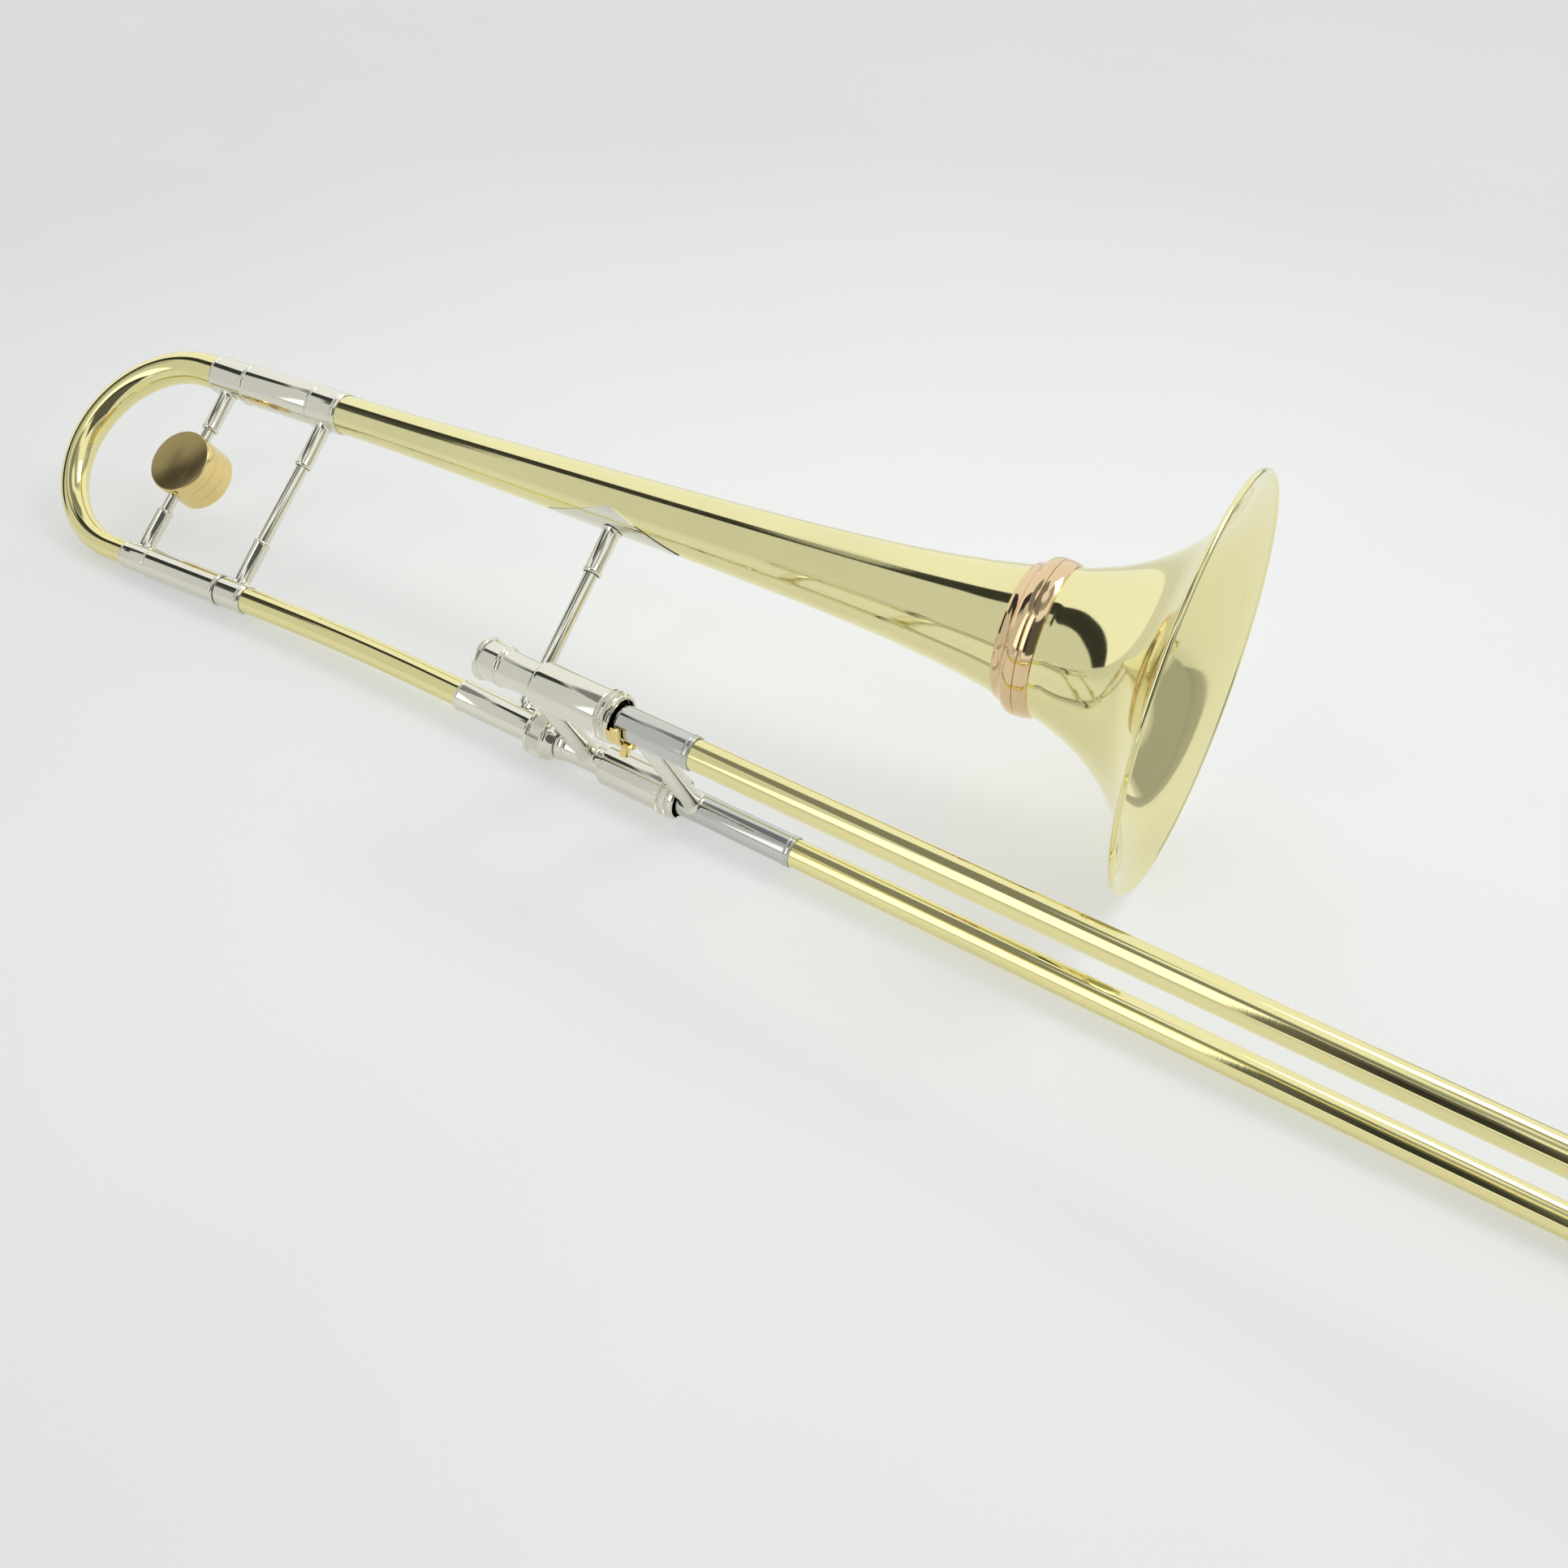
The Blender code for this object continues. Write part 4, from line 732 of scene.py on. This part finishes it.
# ================================================================ lock nut
NUT_SIDES = 480
nut = [(89.6, 10.2), (89.8, 11.6), (90.2, 12.3), (90.8, 12.55), (91.6, 12.55), (92.2, 12.3),
       (92.5, 11.7), (92.7, 11.5), (93.1, 12.1), (93.4, 12.3), (95.0, 12.3), (96.6, 12.3),
       (98.2, 12.3), (99.8, 12.3), (100.2, 12.1), (100.6, 11.5), (101.0, 11.4),
       (101.4, 11.8), (102.0, 11.95), (102.6, 11.75), (103.0, 11.2), (103.7, 10.5),
       (104.7, 9.9), (105.9, 9.4), (106.6, 9.1)]
turned("lock_nut", nut, [(89.6, 9.7), (104.9, 9.7), (105.1, 8.35), (106.6, 8.35)],
       LOWER_AXIS, NICKEL, "bell_lock_nut", ["bell_lock_nut"], NUT_SIDES,
       0.0, knurl(93.3, 100.0, 0.38, 6))

# ================================================================ slide lock
lock = ([(173.3, 11.0), (173.4, 11.4)] + milled_ring(173.5, 11.4, 0.75)
        + [(176.0, 11.3), (176.2, 11.3)] + milled_ring(176.3, 11.4, 0.75)
        + [(178.8, 11.2), (179.0, 11.3), (179.5, 11.6), (180.0, 11.7), (180.5, 11.55),
           (180.8, 11.2), (181.0, 10.7)])
turned("lock_ring", lock,
       [(173.3, 10.25), (178.8, 10.25), (179.0, 9.5), (180.6, 9.7), (181.0, 10.1)],
       UPPER_AXIS, NICKEL, "slide_lock", ["slide_lock_ring"], MILL_SIDES,
       0.0, milling((174.7, 177.5), MILL_DEPTH))


def sector_block(name, low, high, inner, outer, start, end, body, nodes, chamfer):
    """Gold block bent round the mouthpiece-side tube between two turns (degrees, from the
    lower-tube side) and two stations."""
    steps = 16
    bm = bmesh.new()
    sections = []
    for i in range(steps + 1):
        turn = math.radians(low + (high - low) * i / steps)
        ring = []
        for x, r in ((start, inner), (end, inner), (end, outer), (start, outer)):
            ring.append(bm.verts.new((r * math.cos(turn) * MM, -r * math.sin(turn) * MM,
                                      x * MM)))
        sections.append(ring)
    for one, two in zip(sections, sections[1:]):
        for k in range(4):
            j = (k + 1) % 4
            bm.faces.new((one[k], one[j], two[j], two[k]))
    bm.faces.new(sections[0][::-1])
    bm.faces.new(sections[-1])
    bmesh.ops.recalc_face_normals(bm, faces=bm.faces)
    sharp = [e for e in bm.edges if e.calc_face_angle(0.0) > 0.6]
    bmesh.ops.bevel(bm, geom=sharp, offset=chamfer * MM, segments=2, profile=0.5,
                    affect="EDGES")
    return finish_piece(name, bm, UPPER_AXIS, GOLD, body, nodes, 25.0)


sector_block("lock_hook", 76.0, 140.0, 8.3, 10.9, 182.3, 187.2, "slide_lock",
             ["slide_lock_hook"], 0.7)
sector_block("lock_hook_root", 84.0, 128.0, 9.9, 11.1, 180.4, 183.6, "slide_lock", [], 0.3)
sector_block("catch_block", 42.5, 66.0, 7.9, 10.3, 185.9, 190.9, "outer_slide",
             ["slide_lock_catch"], 0.35)
POST_STATION, POST_TURN, POST_HALF = 186.1, math.radians(130.0), 1.6
POST_FRAME = at(SLIDE, POST_STATION, 0, SLIDE_SPACING) @ Matrix.Rotation(POST_TURN, 4, "X")
plate("catch_post", [(-POST_HALF, -POST_HALF), (POST_HALF, -POST_HALF), (POST_HALF, POST_HALF),
                     (-POST_HALF, POST_HALF)], 8.2, 15.6, POST_FRAME, GOLD, "outer_slide", [],
      0.3)

# ================================================================ outer hand slide
SLEEVE_START = 163.0
TUBE_START, TUBE_END, TUBE_BORE, LONG_TUBE_ROUND = 163.5, 799.7, 6.75, 96
for side, axis, end in (("upper", UPPER_AXIS, 220.8), ("lower", LOWER_AXIS, 247.4)):
    turned(side + "_sleeve",
           [(SLEEVE_START, 7.55), (SLEEVE_START + 0.4, SLEEVE), (end - 3.6, SLEEVE)]
           + bead(end - 2.9, SLEEVE, 1.0, 0.35)
           + [(end - 2.2, SLEEVE), (end - 1.4, SLEEVE)] + bead(end - 0.8, 7.7, 1.1, 0.4)
           + [(end, 7.4)],
           [(SLEEVE_START, 7.4), (end, 7.25)], axis, CHROME, "outer_slide",
           [side + "_outer_sleeve"])
    turned(side + "_slide_tube", [(TUBE_START, SLIDE_TUBE), (TUBE_END, SLIDE_TUBE)],
           [(TUBE_START, TUBE_BORE), (TUBE_END, TUBE_BORE)], axis, BRASS, "outer_slide",
           [side + "_outer_tube"], LONG_TUBE_ROUND, 0.0)
    turned(side + "_bow_sleeve",
           bead(788.8, SLEEVE, 1.4, 0.4) + [(789.8, 7.7), (803.6, 7.7)]
           + bead(804.6, 7.7, 1.4, 0.4) + [(805.6, 7.5)],
           [(788.1, 7.45), (805.6, 7.45)], axis, NICKEL, "outer_slide",
           [side + "_bow_ferrule"])

BOW_START, BOW_CENTRE, BOW_RADIUS, BOW_WALL = 800.0, 812.0, SLIDE_SPACING / 2, 0.5
BOW_STEPS = 48
bow = [(BOW_START, 0.0, 0.0)]
for step in range(BOW_STEPS + 1):
    turn = math.pi * step / BOW_STEPS
    bow.append((BOW_CENTRE + math.sin(turn) * BOW_RADIUS, 0.0,
                (1 - math.cos(turn)) * BOW_RADIUS))
bow.append((BOW_START, 0.0, SLIDE_SPACING))
swept_tube("bow_tube", bow, [SLIDE_TUBE] * len(bow), BOW_WALL, SLIDE, "outer_slide",
           ["slide_bow"], BEND_ROUND)


# ================================================================ hand braces
def hand_brace(prefix, x, low_radius, high_radius, body):
    """Grip tube whose two ends flow onto the slide tubes."""
    sides = TUBE_ROUND
    brace_r = 5.15
    blend_length = 9.0                # height at which the saddle shape has faded out
    flow = [(0.15, 1.5), (0.45, 0.75), (0.95, 0.3), (1.7, 0.06), (2.6, 0.0)]
    bm = bmesh.new()
    rings = []
    low_half = [(h, brace_r + extra, low_radius, 0.0, 1.0) for h, extra in flow]
    high_half = [(h, brace_r + extra, high_radius, SLIDE_SPACING, -1.0)
                 for h, extra in reversed(flow)]
    for height, r, tube, base, sign in low_half + high_half:
        ring = []
        for k in range(sides):
            turn = 2 * math.pi * k / sides
            along, across = r * math.cos(turn), r * math.sin(turn)
            surface = math.sqrt(max(tube * tube - min(across * across, tube * tube * 0.9), 0.01))
            fade = max(0.0, 1.0 - height / blend_length)
            lift = surface * fade + tube * (1 - fade) + height
            ring.append(bm.verts.new(((x + along) * MM, across * MM, (base + sign * lift) * MM)))
        rings.append(ring)
    for one, two in zip(rings, rings[1:]):
        for k in range(sides):
            j = (k + 1) % sides
            bm.faces.new((one[k], one[j], two[j], two[k]))
    bm.faces.new(rings[0][::-1])
    bm.faces.new(rings[-1])
    finish_piece(prefix + "_grip", bm, SLIDE, NICKEL, body,
                 [prefix + "_hand_brace", prefix + "_brace_saddle_lower",
                  prefix + "_brace_saddle_upper"])


INNER_BRACE, OUTER_BRACE = 125.8, 189.2
hand_brace("inner", INNER_BRACE, 8.05, 8.55, "inner_slide")
hand_brace("outer", OUTER_BRACE, 7.8, 7.8, "outer_slide")

# ================================================================ bumper and water key
BOW_TIP = BOW_CENTRE + BOW_RADIUS + SLIDE_TUBE
BUMPER_AXIS = at(SLIDE, 0, 0, SLIDE_SPACING / 2) @ TO_X
turned("bumper_cup",
       [(BOW_TIP - 1.0, 6.3), (BOW_TIP + 0.6, 6.3), (BOW_TIP + 1.2, 5.6)]
       + [(BOW_TIP + 2.0, 5.2), (BOW_TIP + 5.6, 5.2)] + bead(BOW_TIP + 6.3, 5.2, 1.2, 0.3)
       + [(BOW_TIP + 7.0, 5.0)],
       [(BOW_TIP - 1.0, 3.9), (BOW_TIP + 7.0, 3.9)], BUMPER_AXIS, NICKEL, "outer_slide",
       ["bumper_holder"])
turned("bumper_tip", [(BOW_TIP + 2.4, 3.5), (BOW_TIP + 8.8, 3.5), (BOW_TIP + 9.6, 3.1),
                      (BOW_TIP + 10.0, 2.4)], [], BUMPER_AXIS, RUBBER, "outer_slide",
       ["rubber_bumper"], 48, 0.3)

# the water key's own solids stay, with these materials
for node in ("water_key_nipple", "water_key_saddle", "water_key_lever", "water_key_cork"):
    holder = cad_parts[node]
    for slot in range(len(holder.data.materials)):
        holder.data.materials[slot] = CORK if node.endswith("cork") else NICKEL

# ================================================================ stage
FLOOR_GLOW = 0.5                  # light coming up through the white table
FLOOR_WHITE = 0.62                # share of the paper colour that reflects
FLOOR = bpy.data.materials.new("studio_floor")
FLOOR.use_nodes = True
f = Nodes(FLOOR.node_tree)
floor_shader = FLOOR.node_tree.nodes["Principled BSDF"]
floor_coords = f.new("ShaderNodeTexCoord").outputs["Object"]
apart = f.new("ShaderNodeSeparateXYZ")
f.link(floor_coords, apart.inputs["Vector"])
paper = f.ramp(f.noise(floor_coords, 3.0, 4.0),
               [(0.3, (0.855, 0.865, 0.86)), (0.7, (0.87, 0.88, 0.875))])
# painted light: the floor's colour and glow are painted brighter near one point and darker
# further out, a painted pool of light
away = f.new("ShaderNodeVectorMath", operation="DISTANCE")
f.link(floor_coords, away.inputs[0])
away.inputs[1].default_value = (-0.02, 0.08, 0.0)     # centre of the painted pool of light
painted_light_pool = f.span(away.outputs["Value"], 0.15, 1.0, 0.985, 0.80)

# ---- part of the floor made darker for glossy reflections only, which no real floor is. It
# ---- was tuned to match the patch seen inside the bell in the photo.
ROOM_SHADE = 0.46
beyond = f.math("ADD", apart.outputs["Y"], f.math("MULTIPLY", apart.outputs["X"], 0.21))
room = f.math("MULTIPLY", f.span(beyond, 0.27, 0.285, 0.0, 1.0),
              f.span(apart.outputs["X"], 0.25, 0.28, 0.0, 1.0))
room = f.math("MULTIPLY", room, f.new("ShaderNodeLightPath").outputs["Is Glossy Ray"])
shade = f.math("MULTIPLY", painted_light_pool, f.span(room, 0.0, 1.0, 1.0, ROOM_SHADE))

tone = f.new("ShaderNodeMix", data_type="RGBA", blend_type="MULTIPLY")
tone.inputs["Factor"].default_value = 1.0
f.link(paper, tone.inputs["A"])
f.link(shade, tone.inputs["B"])
f.link(tone.outputs["Result"], floor_shader.inputs["Emission Color"])
floor_shader.inputs["Emission Strength"].default_value = FLOOR_GLOW
dimmed = f.new("ShaderNodeMix", data_type="RGBA", blend_type="MULTIPLY")
dimmed.inputs["Factor"].default_value = 1.0
dimmed.inputs["B"].default_value = (FLOOR_WHITE, FLOOR_WHITE, FLOOR_WHITE, 1.0)
f.link(tone.outputs["Result"], dimmed.inputs["A"])
f.link(dimmed.outputs["Result"], floor_shader.inputs["Base Color"])
floor_shader.inputs["Roughness"].default_value = 0.6
floor_bm = bmesh.new()
bmesh.ops.create_grid(floor_bm, x_segments=8, y_segments=8, size=12.0)
floor_mesh = bpy.data.meshes.new("studio_floor")
floor_bm.to_mesh(floor_mesh)
floor_bm.free()
floor_mesh.materials.append(FLOOR)
floor = bpy.data.objects.new("studio_floor", floor_mesh)
floor.location.z = -0.0002
bpy.context.scene.collection.objects.link(floor)

# ---- white room with lighter and darker panels that only lighting and reflections see. Their
# ---- edges and levels were read from the bands that the metal in the photo reflects.
CAMERA_LEVEL = 0.9                # plain level that the camera sees instead
world = bpy.data.worlds.new("studio")
bpy.context.scene.world = world
world.use_nodes = True
w = Nodes(world.node_tree)
background = world.node_tree.nodes["Background"]
sight = w.new("ShaderNodeSeparateXYZ")
w.link(w.new("ShaderNodeTexCoord").outputs["Generated"], sight.inputs["Vector"])
DEGREES = 180.0 / math.pi
height = w.math("MULTIPLY", w.math("ARCSINE", sight.outputs["Z"]), DEGREES)
west = w.math("MULTIPLY", w.math("ARCTAN2", w.math("MULTIPLY", sight.outputs["Y"], -1.0),
                                 w.math("MULTIPLY", sight.outputs["X"], -1.0)), DEGREES)
east = w.math("MULTIPLY", w.math("ARCTAN2", sight.outputs["Y"], sight.outputs["X"]), DEGREES)


def between(value, low, high, blur):
    """Mask that is 1 between two angles; low may be a socket."""
    rise = w.math("SUBTRACT", value, low)
    fall = w.math("MULTIPLY", w.math("SUBTRACT", value, high), -1.0)
    return w.math("MULTIPLY", w.span(rise, -blur / 2, blur / 2, 0.0, 1.0),
                  w.span(fall, -blur / 2, blur / 2, 0.0, 1.0))


def painted(level, mask, value):
    """Level changed to a value where the mask is 1."""
    gap = w.math("MULTIPLY", w.math("SUBTRACT", level, value), mask)
    return w.math("SUBTRACT", level, gap)


def patch(turn, turn_low, turn_high, low, high, blur):
    """Mask of a panel between two turns and two heights."""
    return w.math("MULTIPLY", between(turn, turn_low, turn_high, blur),
                  between(height, low, high, blur))


# turn measured from, its two limits, two heights, blur (all degrees) and level
ROOM_PANELS = (
    (west, -66.0, 99.0, 60.0, 80.0, 4.0, 0.25),
    (east, -85.0, 76.0, 67.0, 81.0, 5.0, 0.4),
    (east, 44.0, 72.0, 46.0, 70.0, 12.0, 0.45),
    (west, 18.0, 60.5, -6.0, 58.0, 1.2, 0.70),
    (west, 60.5, 83.5, -4.0, 10.0, 3.0, 0.6),
    (west, 60.5, 83.0, 9.0, 57.0, 1.6, 1.6),
    (east, -84.0, -26.0, 4.0, 52.0, 3.0, 0.12),
    (west, 83.0, 97.0, 7.0, 57.0, 1.2, 0.13),
    (west, 87.0, 95.5, 9.0, 42.0, 4.0, 0.04),
)
EAST_PANELS = (
    (east, -24.0, 56.0, -40.0, 31.0, 3.0, 0.64),
    (east, -20.0, 52.0, -10.0, 27.0, 3.0, 0.42),
)
level = w.math("ADD", 0.0, 1.0)
for turn, *edges, value in ROOM_PANELS:
    level = painted(level, patch(turn, *edges), value)
gap_edge = w.math("MAXIMUM", w.math("SUBTRACT", 10.0, w.math("MULTIPLY", height, 0.4)), -8.0)
gap = w.math("MULTIPLY", between(west, gap_edge, 18.5, 1.0), between(height, -3.0, 59.0, 2.0))
level = painted(level, gap, 0.04)
slant = w.math("ADD", height, w.math("MULTIPLY", west, 0.5))
gap_low = w.math("MULTIPLY", between(slant, 50.5, 56.0, 1.4), between(west, 8.0, 31.0, 3.0))
level = painted(level, gap_low, 0.06)
for turn, *edges, value in EAST_PANELS:
    level = painted(level, patch(turn, *edges), value)
camera_ray = w.new("ShaderNodeLightPath").outputs["Is Camera Ray"]
mix = w.new("ShaderNodeMix", data_type="FLOAT")
w.link(camera_ray, mix.inputs["Factor"])
w.link(level, mix.inputs["A"])
mix.inputs["B"].default_value = CAMERA_LEVEL
background.inputs["Color"].default_value = (0.985, 1.0, 0.99, 1.0)
w.link(mix.outputs["Result"], background.inputs["Strength"])


def softbox(name, place, aim, size, power):
    """Large area light aimed at a point."""
    light = bpy.data.lights.new(name, "AREA")
    light.shape = "RECTANGLE"
    light.size, light.size_y = size
    light.energy = power
    obj = bpy.data.objects.new(name, light)
    bpy.context.scene.collection.objects.link(obj)
    obj.location = place
    obj.rotation_mode = "QUATERNION"
    obj.rotation_quaternion = (Vector(aim) - Vector(place)).to_track_quat("-Z", "Y")


softbox("key", (0.7, 1.0, 1.9), (0.0, 0.0, 0.0), (1.0, 0.8), 8.0)

# ================================================================ camera
RIGHT = Vector((0.84134, 0.49021, -0.22767))
DOWN = Vector((0.38552, -0.83950, -0.38290))
LOOK = Vector((-0.37884, 0.23438, -0.89529))
EYE = Vector((509.92, -148.19, 674.93)) * MM
IMAGE_SIDE = 1932.0
FOCAL_PIXELS = 1910.88
SENSOR = 36.0
cam = bpy.data.cameras.new("camera")
cam.sensor_fit = "HORIZONTAL"
cam.sensor_width = SENSOR
cam.lens = SENSOR * FOCAL_PIXELS / IMAGE_SIDE
cam.clip_start, cam.clip_end = 0.02, 60.0
camera = bpy.data.objects.new("camera", cam)
bpy.context.scene.collection.objects.link(camera)
pose = Matrix(((RIGHT.x, -DOWN.x, -LOOK.x, EYE.x),
               (RIGHT.y, -DOWN.y, -LOOK.y, EYE.y),
               (RIGHT.z, -DOWN.z, -LOOK.z, EYE.z),
               (0.0, 0.0, 0.0, 1.0)))
camera.matrix_world = SLIDE @ pose
bpy.context.scene.camera = camera
bpy.context.scene.view_settings.view_transform = "Standard"

bpy.context.view_layer.update()
